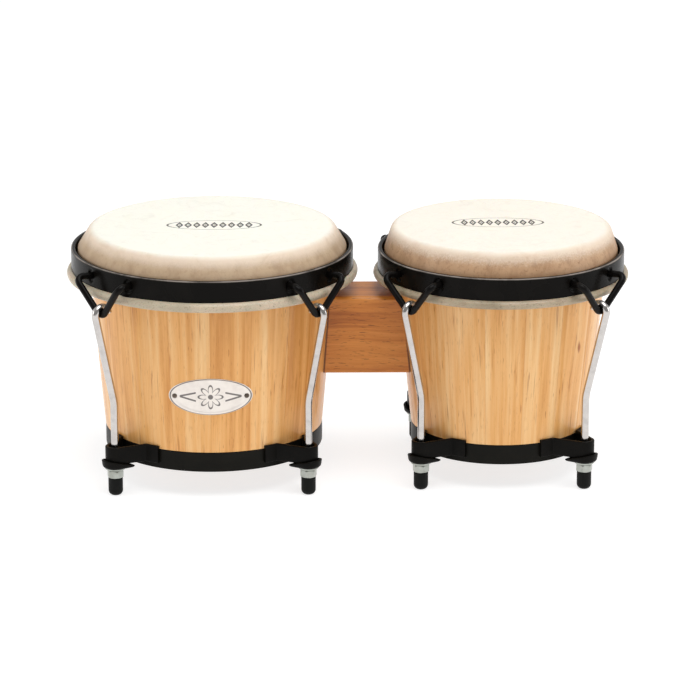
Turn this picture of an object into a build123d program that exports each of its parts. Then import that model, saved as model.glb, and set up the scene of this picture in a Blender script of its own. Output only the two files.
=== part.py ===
from build123d import *
import os
from dataclasses import dataclass
from math import acos, asin, atan2, cos, degrees, hypot, radians, sin, sqrt, tan

# A pair of bongo drums, in millimetres, +Z up, standing on the eight rubber feet at Z = 0.
# The large drum stands at -X, the small drum at +X, and the player's side is -Y.
# Every drum is worked out from its own Drum record; all of its pieces are turned about its axis.

# ---- spacing and levels ----
AXIS_SPACING = 200.0
HOOP_REACH_LARGE = 100.8
HOOP_REACH_SMALL = 88.6
RING_BOTTOM_Z = 19.0
RING_TOP_Z = 33.1
HEAD_TOP_Z = 173.5
MATCH = 0.01
LUG_ANGLES = {"front_left": 225.0, "front_right": 315.0, "rear_right": 45.0, "rear_left": 135.0}

# ---- wooden shells ----
SHELL_WALL = 9.5
SHELL_BOTTOM_Z = 21.0
BEARING_EDGE_R = 4.0
INNER_EDGE_R = 1.5

# ---- rawhide heads ----
SKIN_T = 1.1
SKIRT_ENTRY_DROP = 0.6
CORE_R = 1.6
CORE_COVER = 0.4
ROLL_HALF_W = 3.7
ROLL_OUTSET = 0.5

# ---- tuning rims ----
RIM_T = 3.2
RIM_H = 16.2
RIM_ROUND = 1.1
RIM_FOOT_ROUND = 0.4

# ---- lug loops ----
LOOP_R = 2.35
LOOP_STANDOFF = 9.5
LOOP_HOLE_HALF = 18.5
LOOP_KNEE_HALF = 22.0
LOOP_HOLE_DROP = 7.6
LOOP_KNEE_RISE = 1.2
LOOP_BEND_R = 5.5
LOOP_KNEE_BEND_R = 4.2
LOOP_LEAN = 3.8
LOOP_END_COVER = 0.8

# ---- hooked tuning rods ----
HOOK_R = 2.6
HOOK_HALF_W = 6.5
HOOK_TIP_DROP = 0.3
HOOK_INNER_BEND_R = 6.3
HOOK_OUTER_BEND_R = 5.1
HOOK_LOW_BEND_R = 30.0
HOOK_LOW_BEND_Z = 66.5
HOOK_SEAT_GAP = 0.05
THREAD_R = 2.98
THREAD_TOP_Z = 31.5
THREAD_END_Z = 3.0
THREAD_CHAMFER = 0.35

# ---- bottom rings ----
RING_T = 2.2
RING_LIP_W = 8.0
RING_ROUND = 0.7

# ---- rod guides, straps bent round the rods ----
ROD_REACH = 17.8
GUIDE_T = 2.2
GUIDE_INNER_R = 4.5
GUIDE_BASE_HALF = 13.5
GUIDE_BOTTOM_Z = 23.2
GUIDE_RISE = 2.2
GUIDE_H = RING_TOP_Z + GUIDE_RISE - GUIDE_BOTTOM_Z
GUIDE_SHELL_GAP = 0.05
GUIDE_FLANGE_T = 1.6
GUIDE_FLANGE_END = 22.0
GUIDE_ROUND = 0.5

# ---- nut plates, dished plates under the guides ----
PLATE_TOP_Z = 26.4
PLATE_BACK_Z = 21.6
PLATE_BOTTOM_Z = 19.8
PLATE_R = 9.5
PLATE_BACK = 9.0
PLATE_BASE_HALF = 12.0
PLATE_T = 1.5
PLATE_TAPER = 8.0
PLATE_GUIDE_GAP = 0.1
PLATE_HOLE_R = 3.3
PLATE_FOOT_ROUND = 2.6
PLATE_LIP_ROUND = 0.6

# ---- washers, nuts and feet ----
WASHER_R = 7.0
WASHER_RIM_T = 0.7
WASHER_FOOT_R = 5.6
WASHER_T = 1.9
WASHER_HOLE_R = 3.2
NUT_FLAT = 10.0
NUT_H = 5.0
NUT_HOLE_R = 3.03
NUT_CHAMFER_ANGLE = 30.0
HEX_HALF_ANGLE = 30.0
SEAT_GAP = 0.05
FOOT_NUT_GAP = 0.1
FOOT_R = 5.0
FOOT_FLAT_R = 1.5
FOOT_TOP_ROUND = 0.6

# ---- centre block and its screws ----
BLOCK_DEPTH = 42.0
BLOCK_BOTTOM_Z = 72.5
BLOCK_TOP_Z = 127.5
BLOCK_ROUND = 2.0
SCREW_LEVELS = (85.5, 114.5)
SCREW_R = 3.0
SCREW_BITE = 20.0
SCREW_POINT = 4.0
SCREW_TIP_R = 0.6
SCREW_HEAD_FLAT = 10.0
SCREW_HEAD_H = 4.0
SCREW_WASHER_R = 8.0
SCREW_WASHER_T = 1.5
SPOTFACE_R = 8.6
SPOTFACE_DEPTH = 1.3

# ---- badge on the large drum ----
BADGE_W = 57.0
BADGE_H = 26.4
BADGE_T = 0.7
BADGE_Z = 74.0
PIN_SPREAD = 24.5
PIN_HEAD_R = 1.8
PIN_HEAD_H = 0.7
PIN_SHANK_R = 0.6
PIN_LENGTH = 6.0


@dataclass(frozen=True)
class Drum:
    """Sizes of one drum; lengths in mm, radii measured from the drum's own axis."""

    name: str
    x: float
    shell_top_r: float
    shell_foot_r: float
    shell_bulge: float
    rim_r: float
    rim_top_z: float
    roll_half_h: float
    skirt_r: float
    loop_drop: float

    @property
    def rim_inner_r(self):
        return self.rim_r - RIM_T

    @property
    def rim_bottom_z(self):
        return self.rim_top_z - RIM_H

    @property
    def roll_r(self):
        return self.rim_r - ROLL_OUTSET

    @property
    def roll_z(self):
        return self.rim_bottom_z - CORE_R - CORE_COVER

    @property
    def loop_z(self):
        return self.rim_top_z - self.loop_drop

    @property
    def loop_low_r(self):
        return self.rim_r + LOOP_STANDOFF - LOOP_LEAN

    @property
    def ring_r(self):
        return self.shell_foot_r

    @property
    def rod_r(self):
        return self.ring_r + ROD_REACH


LARGE_X = -(AXIS_SPACING + HOOP_REACH_SMALL - HOOP_REACH_LARGE) / 2
SMALL_X = LARGE_X + AXIS_SPACING

LARGE = Drum(
    name="large", x=LARGE_X, shell_top_r=85.75, shell_foot_r=75.8, shell_bulge=0.9,
    rim_r=HOOP_REACH_LARGE - ROLL_HALF_W + ROLL_OUTSET, rim_top_z=160.1, roll_half_h=3.5,
    skirt_r=93.0, loop_drop=32.5,
)
SMALL = Drum(
    name="small", x=SMALL_X, shell_top_r=76.2, shell_foot_r=61.8, shell_bulge=0.2,
    rim_r=HOOP_REACH_SMALL - ROLL_HALF_W + ROLL_OUTSET, rim_top_z=157.9, roll_half_h=3.0,
    skirt_r=80.8, loop_drop=31.0,
)
DRUMS = (LARGE, SMALL)
EDGE_Z = HEAD_TOP_Z - SKIN_T
WASHER_TOP_Z = PLATE_BOTTOM_Z - SEAT_GAP
NUT_TOP_Z = WASHER_TOP_Z - WASHER_T - SEAT_GAP
FOOT_TOP_Z = NUT_TOP_Z - NUT_H - FOOT_NUT_GAP


def write(node, shapes):
    """Writes one STEP file for a node, made of one solid or of several separate ones."""
    solids = shapes if isinstance(shapes, list) else [shapes]
    body = solids[0] if len(solids) == 1 else Compound(children=solids)
    body.label = node
    export_step(body, f"parts/{node}.step")


def section(*edges):
    """A face in the XZ plane, ready to be turned about the Z axis."""
    return make_face(Wire(list(edges)))


def outline(points):
    """A closed polygon face in the XZ plane from (radius, height) pairs."""
    return make_face(Polyline([(r, 0, z) for r, z in points], close=True))


def turned(face):
    """The face turned once round the Z axis."""
    return revolve(face, Axis.Z)


def ring_band(inner, outer, low, high):
    """A plain turned ring between two radii and two heights."""
    return turned(outline([(inner, low), (outer, low), (outer, high), (inner, high)]))


def to_drum(drum, shape):
    """Moves a shape from a drum's own axis to its place."""
    return Pos(drum.x, 0, 0) * shape


def at_lug(drum, shape, angle):
    """Moves a shape from the +X side of a drum to one of its lug stations."""
    return Pos(drum.x, 0, 0) * Rot(0, 0, angle) * shape


# ---------------------------------------------------------------- shells and block
def shell_radius(drum, z):
    """Outer radius of the stave wall at a height: a straight taper with a slight belly."""
    t = (z - RING_TOP_Z) / (EDGE_Z - RING_TOP_Z)
    return drum.shell_foot_r + (drum.shell_top_r - drum.shell_foot_r) * t + 4 * drum.shell_bulge * t * (1 - t)


def shell_blank(drum, grow):
    """The filled shell, grown outwards by the given distance, from ring to bearing edge."""
    mid_z = (RING_TOP_Z + EDGE_Z) / 2
    foot = (shell_radius(drum, RING_TOP_Z) + grow, 0, RING_TOP_Z)
    belly = (shell_radius(drum, mid_z) + grow, 0, mid_z)
    top = (shell_radius(drum, EDGE_Z) + grow, 0, EDGE_Z)
    low = (foot[0], 0, SHELL_BOTTOM_Z)
    return turned(section(
        Line((0, 0, SHELL_BOTTOM_Z), low), Line(low, foot), ThreePointArc(foot, belly, top),
        Line(top, (0, 0, EDGE_Z)), Line((0, 0, EDGE_Z), (0, 0, SHELL_BOTTOM_Z)),
    ))


def block_side(drum):
    """+1 where the centre block lies on the drum's +X side, -1 on its -X side."""
    return 1 if drum is LARGE else -1


def screw_seat_x(drum, z):
    """Distance from the drum's axis to the flat that a screw's washer seats on."""
    return shell_radius(drum, z) - SHELL_WALL + SPOTFACE_DEPTH


def make_shell(drum):
    """The stave shell, hollow, stepped for the bottom ring and bored for the block screws."""
    shell = shell_blank(drum, 0) - shell_blank(drum, -SHELL_WALL)
    seat = ring_band(drum.ring_r - RING_T, drum.ring_r + SHELL_WALL, SHELL_BOTTOM_Z, RING_TOP_Z)
    shell = shell - seat
    rims = shell.edges().filter_by(GeomType.CIRCLE).filter_by(lambda e: abs(e.center().Z - EDGE_Z) < MATCH)
    rims = rims.sort_by(SortBy.RADIUS)
    shell = fillet(rims[-1], BEARING_EDGE_R)
    inner = shell.edges().filter_by(GeomType.CIRCLE).filter_by(lambda e: abs(e.center().Z - EDGE_Z) < MATCH)
    shell = fillet(inner.sort_by(SortBy.RADIUS)[0], INNER_EDGE_R)
    for z in SCREW_LEVELS:
        seat_x = screw_seat_x(drum, z)
        bore = Pos(seat_x, 0, z) * Rot(0, 90, 0) * Cylinder(SCREW_R, 4 * SHELL_WALL)
        face = Pos(seat_x - SPOTFACE_R, 0, z) * Rot(0, 90, 0) * Cylinder(SPOTFACE_R, 2 * SPOTFACE_R)
        cut = Rot(0, 0, 0 if block_side(drum) > 0 else 180) * (bore + face)
        shell = shell - cut
    return to_drum(drum, shell)


def make_block():
    """The hardwood block between the shells, coped to both of them, with screw pilots."""
    height = BLOCK_TOP_Z - BLOCK_BOTTOM_Z
    block = Pos(0, 0, (BLOCK_TOP_Z + BLOCK_BOTTOM_Z) / 2) * Box(AXIS_SPACING, BLOCK_DEPTH, height)
    block = fillet(block.edges().filter_by(Axis.X), BLOCK_ROUND)
    block = Pos((LARGE.x + SMALL.x) / 2, 0, 0) * block
    for drum in DRUMS:
        block = block - to_drum(drum, shell_blank(drum, 0))
        for z in SCREW_LEVELS:
            block = block - place_screw(drum, z, screw_shank(drum, z))
    return block.solids().sort_by(SortBy.VOLUME)[-1]


def place_screw(drum, z, shape):
    """Turns a screw made along +Z so that it points from the drum's axis into the block."""
    return Pos(drum.x, 0, z) * Rot(0, 90 * block_side(drum), 0) * Pos(0, 0, screw_seat_x(drum, z)) * shape


def screw_shank(drum, z):
    """The screw's shank and point, from the washer seat into the block."""
    straight = SHELL_WALL - SPOTFACE_DEPTH + SCREW_BITE - SCREW_POINT
    tip_z = straight + SCREW_POINT
    return turned(outline([(0, 0), (SCREW_R, 0), (SCREW_R, straight), (SCREW_TIP_R, tip_z), (0, tip_z)]))


def hexagon(flat, height):
    """A hexagonal prism from Z = 0, given its size across the flats."""
    return extrude(RegularPolygon(flat / 2, 6, major_radius=False), height)


def make_screw(drum, z):
    """A hex-headed wood screw: the head lies inside the shell, the point in the block."""
    neck = Pos(0, 0, -SCREW_WASHER_T / 2) * Cylinder(SCREW_R, SCREW_WASHER_T)
    head = Pos(0, 0, -SCREW_WASHER_T - SCREW_HEAD_H) * hexagon(SCREW_HEAD_FLAT, SCREW_HEAD_H)
    return place_screw(drum, z, screw_shank(drum, z) + neck + head)


def make_screw_washer(drum, z):
    """The broad washer under a block screw's head."""
    washer = Cylinder(SCREW_WASHER_R, SCREW_WASHER_T) - Cylinder(SCREW_R, 2 * SCREW_WASHER_T)
    return place_screw(drum, z, Pos(0, 0, -SCREW_WASHER_T / 2) * washer)


# ---------------------------------------------------------------- heads
def skin_lines(drum):
    """The skin's outer and inner outline from the bearing edge to the hoop, as point pairs.

    The skin leaves the rounded bearing edge along a tangent, runs out to the rim's mouth, and
    drops almost straight to the inner side of the rolled hoop.
    """
    centre = (drum.shell_top_r - BEARING_EDGE_R, EDGE_Z - BEARING_EDGE_R)
    mouth = (drum.skirt_r, drum.rim_top_z - SKIRT_ENTRY_DROP)
    reach = hypot(mouth[0] - centre[0], mouth[1] - centre[1])
    slope = atan2(mouth[1] - centre[1], mouth[0] - centre[0])
    leave = slope + acos((BEARING_EDGE_R + SKIN_T) / reach)
    outer_r = BEARING_EDGE_R + SKIN_T
    tangent_out = (centre[0] + outer_r * cos(leave), centre[1] + outer_r * sin(leave))
    tangent_in = (centre[0] + BEARING_EDGE_R * cos(leave), centre[1] + BEARING_EDGE_R * sin(leave))
    foot = (drum.roll_r - ROLL_HALF_W, drum.roll_z)
    mouth_in = (mouth[0] - SKIN_T, mouth[1] - SKIN_T * tan(leave / 2))
    foot_in = (foot[0] - SKIN_T, foot[1])
    return centre, leave, (tangent_out, mouth, foot), (tangent_in, mouth_in, foot_in)


def make_head(drum):
    """The playing face: the flat skin with its turned-down edge on the bearing edge."""
    centre, leave, outer, inner = skin_lines(drum)
    half = (radians(90) + leave) / 2
    outer_r = BEARING_EDGE_R + SKIN_T
    mid_out = (centre[0] + outer_r * cos(half), 0, centre[1] + outer_r * sin(half))
    mid_in = (centre[0] + BEARING_EDGE_R * cos(half), 0, centre[1] + BEARING_EDGE_R * sin(half))
    top_out = (centre[0], 0, HEAD_TOP_Z)
    top_in = (centre[0], 0, EDGE_Z)
    end_out = (outer[0][0], 0, outer[0][1])
    end_in = (inner[0][0], 0, inner[0][1])
    head = turned(section(
        Line((0, 0, EDGE_Z), (0, 0, HEAD_TOP_Z)), Line((0, 0, HEAD_TOP_Z), top_out),
        ThreePointArc(top_out, mid_out, end_out), Line(end_out, end_in),
        ThreePointArc(end_in, mid_in, top_in), Line(top_in, (0, 0, EDGE_Z)),
    ))
    return to_drum(drum, head)


def make_skirt(drum):
    """The part of the skin that runs from the bearing edge down to the rolled hoop."""
    _, _, outer, inner = skin_lines(drum)
    return to_drum(drum, turned(outline(list(outer) + list(reversed(inner)))))


def make_core(drum):
    """The steel flesh hoop that the skin is lapped round."""
    core = Torus(drum.roll_r, CORE_R)
    return to_drum(drum, Pos(0, 0, drum.roll_z) * core)


def make_roll(drum):
    """The lapped roll of skin round the steel hoop, grooved where the rim presses on it."""
    lap = Plane.XZ * Pos(drum.roll_r, drum.roll_z) * Ellipse(ROLL_HALF_W, drum.roll_half_h)
    bore = Plane.XZ * Pos(drum.roll_r, drum.roll_z) * Circle(CORE_R)
    roll = revolve(lap - bore, Axis.Z)
    groove = ring_band(drum.rim_inner_r, drum.rim_r, drum.rim_bottom_z, drum.rim_top_z)
    return to_drum(drum, roll - groove)


# ---------------------------------------------------------------- rims, loops and hooks
def rod_along(points, radii, radius):
    """A round bar along a path of straight runs with rounded corners."""
    path = FilletPolyline(*points, radius=radii)
    start = Plane(origin=path @ 0, z_dir=path % 0)
    return sweep(start * Circle(radius), path=path)


def make_loop(drum):
    """A V-shaped lug loop on the +X side: out of the rim, down to a rounded point, and back."""
    hole_z = drum.rim_top_z - LOOP_HOLE_DROP
    start_u = sqrt((drum.rim_inner_r + LOOP_END_COVER) ** 2 - (LOOP_HOLE_HALF - LOOP_R) ** 2)
    knee_u = drum.rim_r + LOOP_STANDOFF
    points = [
        (start_u, LOOP_HOLE_HALF, hole_z),
        (knee_u, LOOP_KNEE_HALF, hole_z + LOOP_KNEE_RISE),
        (drum.loop_low_r, 0, drum.loop_z),
        (knee_u, -LOOP_KNEE_HALF, hole_z + LOOP_KNEE_RISE),
        (start_u, -LOOP_HOLE_HALF, hole_z),
    ]
    return rod_along(points, [LOOP_KNEE_BEND_R, LOOP_BEND_R, LOOP_KNEE_BEND_R], LOOP_R)


def loop_low_z(drum):
    """Height of the loop's bar at its rounded point, and how far that lies outside the sharp corner."""
    rise = drum.rim_top_z - LOOP_HOLE_DROP + LOOP_KNEE_RISE - drum.loop_z
    half_turn = atan2(hypot(rise, LOOP_LEAN), LOOP_KNEE_HALF)
    lift = LOOP_BEND_R * (1 / cos(half_turn) - 1)
    return drum.loop_z + lift * rise / hypot(rise, LOOP_LEAN), lift * LOOP_LEAN / hypot(rise, LOOP_LEAN)


def make_hook(drum):
    """A hooked tuning rod on the +X side: over the loop, down past the shell, threaded below."""
    low_z, low_shift = loop_low_z(drum)
    over_u = drum.loop_low_r + low_shift
    top_z = low_z + LOOP_R + HOOK_R + HOOK_SEAT_GAP
    points = [
        (over_u - HOOK_HALF_W, 0, top_z - HOOK_HALF_W - HOOK_TIP_DROP),
        (over_u - HOOK_HALF_W, 0, top_z),
        (over_u + HOOK_HALF_W, 0, top_z),
        (drum.rod_r, 0, HOOK_LOW_BEND_Z),
        (drum.rod_r, 0, THREAD_TOP_Z),
    ]
    bar = rod_along(points, [HOOK_INNER_BEND_R, HOOK_OUTER_BEND_R, HOOK_LOW_BEND_R], HOOK_R)
    thread = turned(outline([
        (0, THREAD_END_Z), (THREAD_R - THREAD_CHAMFER, THREAD_END_Z),
        (THREAD_R, THREAD_END_Z + THREAD_CHAMFER), (THREAD_R, THREAD_TOP_Z - THREAD_CHAMFER),
        (THREAD_R - THREAD_CHAMFER, THREAD_TOP_Z), (0, THREAD_TOP_Z),
    ]))
    return bar + Pos(drum.rod_r, 0, 0) * thread


def make_rim(drum, loops):
    """The steel tuning rim: a tall band with rounded edges, holed for the ends of the loops."""
    rim = ring_band(drum.rim_inner_r, drum.rim_r, drum.rim_bottom_z, drum.rim_top_z)
    rim = fillet(rim.edges().filter_by(lambda e: abs(e.center().Z - drum.rim_top_z) < MATCH), RIM_ROUND)
    low = rim.edges().filter_by(lambda e: abs(e.center().Z - drum.rim_bottom_z) < MATCH)
    rim = to_drum(drum, fillet(low, RIM_FOOT_ROUND))
    for loop in loops.values():
        rim = rim - loop
    return rim.solids().sort_by(SortBy.VOLUME)[-1]


# ---------------------------------------------------------------- bottom hardware
def make_ring(drum):
    """The bottom ring: a band flush with the shell, with a lip under the shell's end grain."""
    inner = drum.ring_r - RING_T
    band = turned(outline([
        (inner - RING_LIP_W, RING_BOTTOM_Z), (drum.ring_r, RING_BOTTOM_Z), (drum.ring_r, RING_TOP_Z),
        (inner, RING_TOP_Z), (inner, SHELL_BOTTOM_Z), (inner - RING_LIP_W, SHELL_BOTTOM_Z),
    ]))
    outer = band.edges().filter_by(GeomType.CIRCLE).filter_by(lambda e: abs(e.radius - drum.ring_r) < MATCH)
    return to_drum(drum, fillet(outer, RING_ROUND))


def teardrop(drum, tip_r, base_u, base_half):
    """A flat outline, seen from above: a round tip about the rod, widening towards the ring."""
    tip = Pos(drum.rod_r, 0) * Circle(tip_r)
    foot = Polyline([(base_u, -base_half), (base_u, base_half)])
    return make_hull([tip.edges()[0], foot.edges()[0]])


def guide_base_u(drum):
    """Where the guide's sides meet the ring, measured out from the drum's axis."""
    return sqrt(drum.ring_r ** 2 - GUIDE_BASE_HALF ** 2)


def make_guide(drum):
    """A strap bent round the rod on the +X side, with two end flanges lying on the ring.

    It stands a little higher than the ring, so its flanges are relieved where the shell swells.
    """
    outer_r = GUIDE_INNER_R + GUIDE_T
    base_u = guide_base_u(drum)
    outer = teardrop(drum, outer_r, base_u, GUIDE_BASE_HALF)
    inner = teardrop(drum, GUIDE_INNER_R, base_u - GUIDE_T, GUIDE_BASE_HALF - GUIDE_T)
    strap = extrude(outer, GUIDE_H) - extrude(inner, GUIDE_H)
    flange_end = asin(GUIDE_FLANGE_END / drum.ring_r)
    wedge = extrude(make_face(Polyline([
        (0, 0), (2 * drum.rod_r, 2 * drum.rod_r * tan(flange_end)),
        (2 * drum.rod_r, -2 * drum.rod_r * tan(flange_end)),
    ], close=True)), GUIDE_H)
    sleeve = Cylinder(drum.ring_r + GUIDE_FLANGE_T, 2 * GUIDE_H)
    gap = extrude(inner, GUIDE_H) + Pos(drum.ring_r, 0, GUIDE_H / 2) * Box(
        2 * GUIDE_T + GUIDE_FLANGE_T, 2 * (GUIDE_BASE_HALF - GUIDE_T), GUIDE_H)
    guide = strap + (sleeve & wedge) - gap - Cylinder(drum.ring_r, 3 * GUIDE_H)
    guide = guide.solids().sort_by(SortBy.VOLUME)[-1]
    tips = guide.edges().filter_by(GeomType.CIRCLE).filter_by(lambda e: abs(e.radius - outer_r) < MATCH)
    guide = Pos(0, 0, GUIDE_BOTTOM_Z) * fillet(tips, GUIDE_ROUND)
    high = RING_TOP_Z + 2 * GUIDE_RISE
    return guide - turned(outline([
        (0, RING_TOP_Z), (drum.ring_r + GUIDE_SHELL_GAP, RING_TOP_Z),
        (shell_radius(drum, high) + GUIDE_SHELL_GAP, high), (0, high),
    ]))


def make_plate(drum):
    """A dished plate on the +X side that carries the nut's pull to the guide.

    Its lip is highest outside the rod and slopes down towards the ring, and it is relieved where
    the guide's strap stands in it.
    """
    depth = PLATE_TOP_Z - PLATE_BOTTOM_Z
    base_u = drum.rod_r - PLATE_BACK
    outer = extrude(teardrop(drum, PLATE_R, base_u, PLATE_BASE_HALF), -depth, taper=PLATE_TAPER)
    inner = extrude(
        teardrop(drum, PLATE_R - PLATE_T, base_u + PLATE_T, PLATE_BASE_HALF - PLATE_T),
        -(depth - PLATE_T), taper=PLATE_TAPER,
    )
    plate = outer - inner
    plate = fillet(plate.faces().sort_by(Axis.Z)[0].outer_wire().edges(), PLATE_FOOT_ROUND)
    hole = Pos(drum.rod_r, 0, -depth) * Cylinder(PLATE_HOLE_R, 4 * PLATE_T)
    plate = Pos(0, 0, PLATE_TOP_Z) * (plate - hole)
    tip_u = drum.rod_r + PLATE_R
    above = make_face(Polyline([
        (0, 0, PLATE_BACK_Z), (base_u, 0, PLATE_BACK_Z), (tip_u, 0, PLATE_TOP_Z), (tip_u, 0, RING_TOP_Z),
        (0, 0, RING_TOP_Z),
    ], close=True))
    relief = teardrop(
        drum, GUIDE_INNER_R + GUIDE_T + PLATE_GUIDE_GAP, guide_base_u(drum), GUIDE_BASE_HALF + PLATE_GUIDE_GAP)
    relief = Pos(0, 0, GUIDE_BOTTOM_Z - PLATE_GUIDE_GAP) * extrude(relief, GUIDE_H)
    plate = plate - extrude(above, PLATE_BASE_HALF * 2, both=True)
    lip = plate.edges().sort_by(Axis.Z)[-1]
    plate = fillet(lip, PLATE_LIP_ROUND) - relief
    return plate.solids().sort_by(SortBy.VOLUME)[-1]


def make_nut_washer(drum):
    """The bevelled washer between a nut plate and its nut, on the +X side."""
    washer = turned(outline([
        (WASHER_HOLE_R, -WASHER_T), (WASHER_FOOT_R, -WASHER_T), (WASHER_R, -WASHER_RIM_T), (WASHER_R, 0),
        (WASHER_HOLE_R, 0),
    ]))
    return Pos(drum.rod_r, 0, WASHER_TOP_Z) * washer


def make_nut(drum):
    """A hexagon tuning nut on the +X side, with both rims of its corners turned off."""
    corner_r = NUT_FLAT / 2 / cos(radians(HEX_HALF_ANGLE))
    drop = (corner_r - NUT_FLAT / 2) * tan(radians(NUT_CHAMFER_ANGLE))
    barrel = turned(outline([
        (0, 0), (NUT_FLAT / 2, 0), (corner_r, drop), (corner_r, NUT_H - drop), (NUT_FLAT / 2, NUT_H), (0, NUT_H),
    ]))
    nut = (hexagon(NUT_FLAT, NUT_H) & barrel) - Cylinder(NUT_HOLE_R, 4 * NUT_H)
    return Pos(drum.rod_r, 0, NUT_TOP_Z - NUT_H) * nut


def make_foot(drum):
    """A rubber cap pushed on a rod's threaded end, on the +X side; the drums stand on these."""
    round_r = FOOT_R - FOOT_FLAT_R
    mid = round_r * sqrt(0.5)
    flat = (FOOT_FLAT_R, 0, 0)
    side = (FOOT_R, 0, round_r)
    lip = (FOOT_R, 0, FOOT_TOP_Z - FOOT_TOP_ROUND)
    lip_end = (FOOT_R - FOOT_TOP_ROUND, 0, FOOT_TOP_Z)
    lip_mid = FOOT_TOP_ROUND * (1 - sqrt(0.5))
    cap = turned(section(
        Line((0, 0, 0), flat), ThreePointArc(flat, (FOOT_FLAT_R + mid, 0, round_r - mid), side),
        Line(side, lip), ThreePointArc(lip, (FOOT_R - lip_mid, 0, FOOT_TOP_Z - lip_mid), lip_end),
        Line(lip_end, (0, 0, FOOT_TOP_Z)), Line((0, 0, FOOT_TOP_Z), (0, 0, 0)),
    ))
    bore = Pos(0, 0, THREAD_END_Z + FOOT_TOP_Z) * Cylinder(THREAD_R, 2 * FOOT_TOP_Z)
    return Pos(drum.rod_r, 0, 0) * (cap - bore)


# ---------------------------------------------------------------- badge
def badge_prism(width, height):
    """An oval bar that runs through the large drum's front wall at the badge's place."""
    oval = Plane.XZ * Ellipse(width / 2, height / 2)
    return Pos(LARGE.x, 0, BADGE_Z) * extrude(oval, 2 * LARGE.rim_r)


def make_badge():
    """The oval metal badge, bent to the large shell's front."""
    sleeve = to_drum(LARGE, shell_blank(LARGE, BADGE_T)) - to_drum(LARGE, shell_blank(LARGE, 0))
    badge = sleeve & badge_prism(BADGE_W, BADGE_H)
    for pin in make_badge_pins():
        badge = badge - pin
    return badge.solids().sort_by(SortBy.VOLUME)[-1]


def make_badge_pins():
    """The two round-headed pins at the badge's ends."""
    pins = []
    for side in (-1, 1):
        seat_r = shell_radius(LARGE, BADGE_Z) + BADGE_T
        turn = degrees(asin(PIN_SPREAD / seat_r)) * side
        shank = Rot(0, 90, 0) * Cylinder(PIN_SHANK_R, PIN_LENGTH)
        head = Pos(PIN_LENGTH / 2, 0, 0) * Rot(0, 90, 0) * Cylinder(PIN_HEAD_R, PIN_HEAD_H)
        head = fillet(head.edges().sort_by(Axis.X)[-1], PIN_HEAD_H / 2)
        pin = Pos(seat_r - PIN_LENGTH / 2 + PIN_HEAD_H / 2, 0, BADGE_Z) * (shank + head)
        pins.append(to_drum(LARGE, Rot(0, 0, -90 + turn) * pin))
    return pins


def main():
    """Builds every piece and writes its STEP file."""
    os.makedirs("parts", exist_ok=True)
    write("centre_block", make_block())
    pins = make_badge_pins()
    write("badge", make_badge())
    write("badge_pins", pins)
    for drum in DRUMS:
        shell = make_shell(drum)
        if drum is LARGE:
            for pin in pins:
                shell = shell - pin
        write(f"{drum.name}_shell", shell)
        write(f"{drum.name}_block_screws", [make_screw(drum, z) for z in SCREW_LEVELS])
        write(f"{drum.name}_screw_washers", [make_screw_washer(drum, z) for z in SCREW_LEVELS])
        write(f"{drum.name}_head", make_head(drum))
        write(f"{drum.name}_head_skirt", make_skirt(drum))
        write(f"{drum.name}_flesh_hoop", make_core(drum))
        write(f"{drum.name}_skin_roll", make_roll(drum))
        write(f"{drum.name}_bottom_ring", make_ring(drum))
        loop = make_loop(drum)
        hook = make_hook(drum)
        nut = make_nut(drum)
        foot = make_foot(drum)
        loops = {place: at_lug(drum, loop, angle) for place, angle in LUG_ANGLES.items()}
        write(f"{drum.name}_rim", make_rim(drum, loops))
        for place, angle in LUG_ANGLES.items():
            write(f"{drum.name}_lug_loop_{place}", loops[place])
            write(f"{drum.name}_hook_{place}", at_lug(drum, hook, angle))
            write(f"{drum.name}_nut_{place}", at_lug(drum, nut, angle))
            write(f"{drum.name}_foot_{place}", at_lug(drum, foot, angle))
        stations = LUG_ANGLES.values()
        write(f"{drum.name}_rod_guides", [at_lug(drum, make_guide(drum), a) for a in stations])
        write(f"{drum.name}_nut_plates", [at_lug(drum, make_plate(drum), a) for a in stations])
        write(f"{drum.name}_nut_washers", [at_lug(drum, make_nut_washer(drum), a) for a in stations])


main()
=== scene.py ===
import logging
import math
from collections.abc import Sequence
from dataclasses import dataclass, field
from enum import Enum

import bmesh
import bpy
import numpy as np
from mathutils import Matrix, Vector, noise


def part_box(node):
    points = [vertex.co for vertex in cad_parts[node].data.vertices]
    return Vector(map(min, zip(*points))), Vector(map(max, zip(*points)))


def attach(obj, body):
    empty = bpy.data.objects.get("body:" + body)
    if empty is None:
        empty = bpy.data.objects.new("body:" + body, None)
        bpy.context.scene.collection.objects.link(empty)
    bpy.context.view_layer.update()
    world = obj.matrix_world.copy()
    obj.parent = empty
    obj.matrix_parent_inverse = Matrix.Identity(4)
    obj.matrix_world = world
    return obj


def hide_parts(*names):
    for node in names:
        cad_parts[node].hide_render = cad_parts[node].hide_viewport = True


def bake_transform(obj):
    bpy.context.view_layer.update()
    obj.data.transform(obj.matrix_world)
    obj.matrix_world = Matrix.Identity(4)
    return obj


Socket = bpy.types.NodeSocket
Piece = bpy.types.Object
Mesh = bpy.types.Mesh
Material = bpy.types.Material
Colour = tuple[float, float, float]

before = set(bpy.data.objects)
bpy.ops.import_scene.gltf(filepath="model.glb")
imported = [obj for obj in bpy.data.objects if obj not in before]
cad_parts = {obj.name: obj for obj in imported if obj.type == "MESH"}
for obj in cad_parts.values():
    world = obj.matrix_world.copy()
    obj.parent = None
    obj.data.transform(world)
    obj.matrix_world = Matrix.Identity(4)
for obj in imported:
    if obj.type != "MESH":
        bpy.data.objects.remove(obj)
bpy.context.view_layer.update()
LOG = logging.getLogger("bongo_drums")

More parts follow.
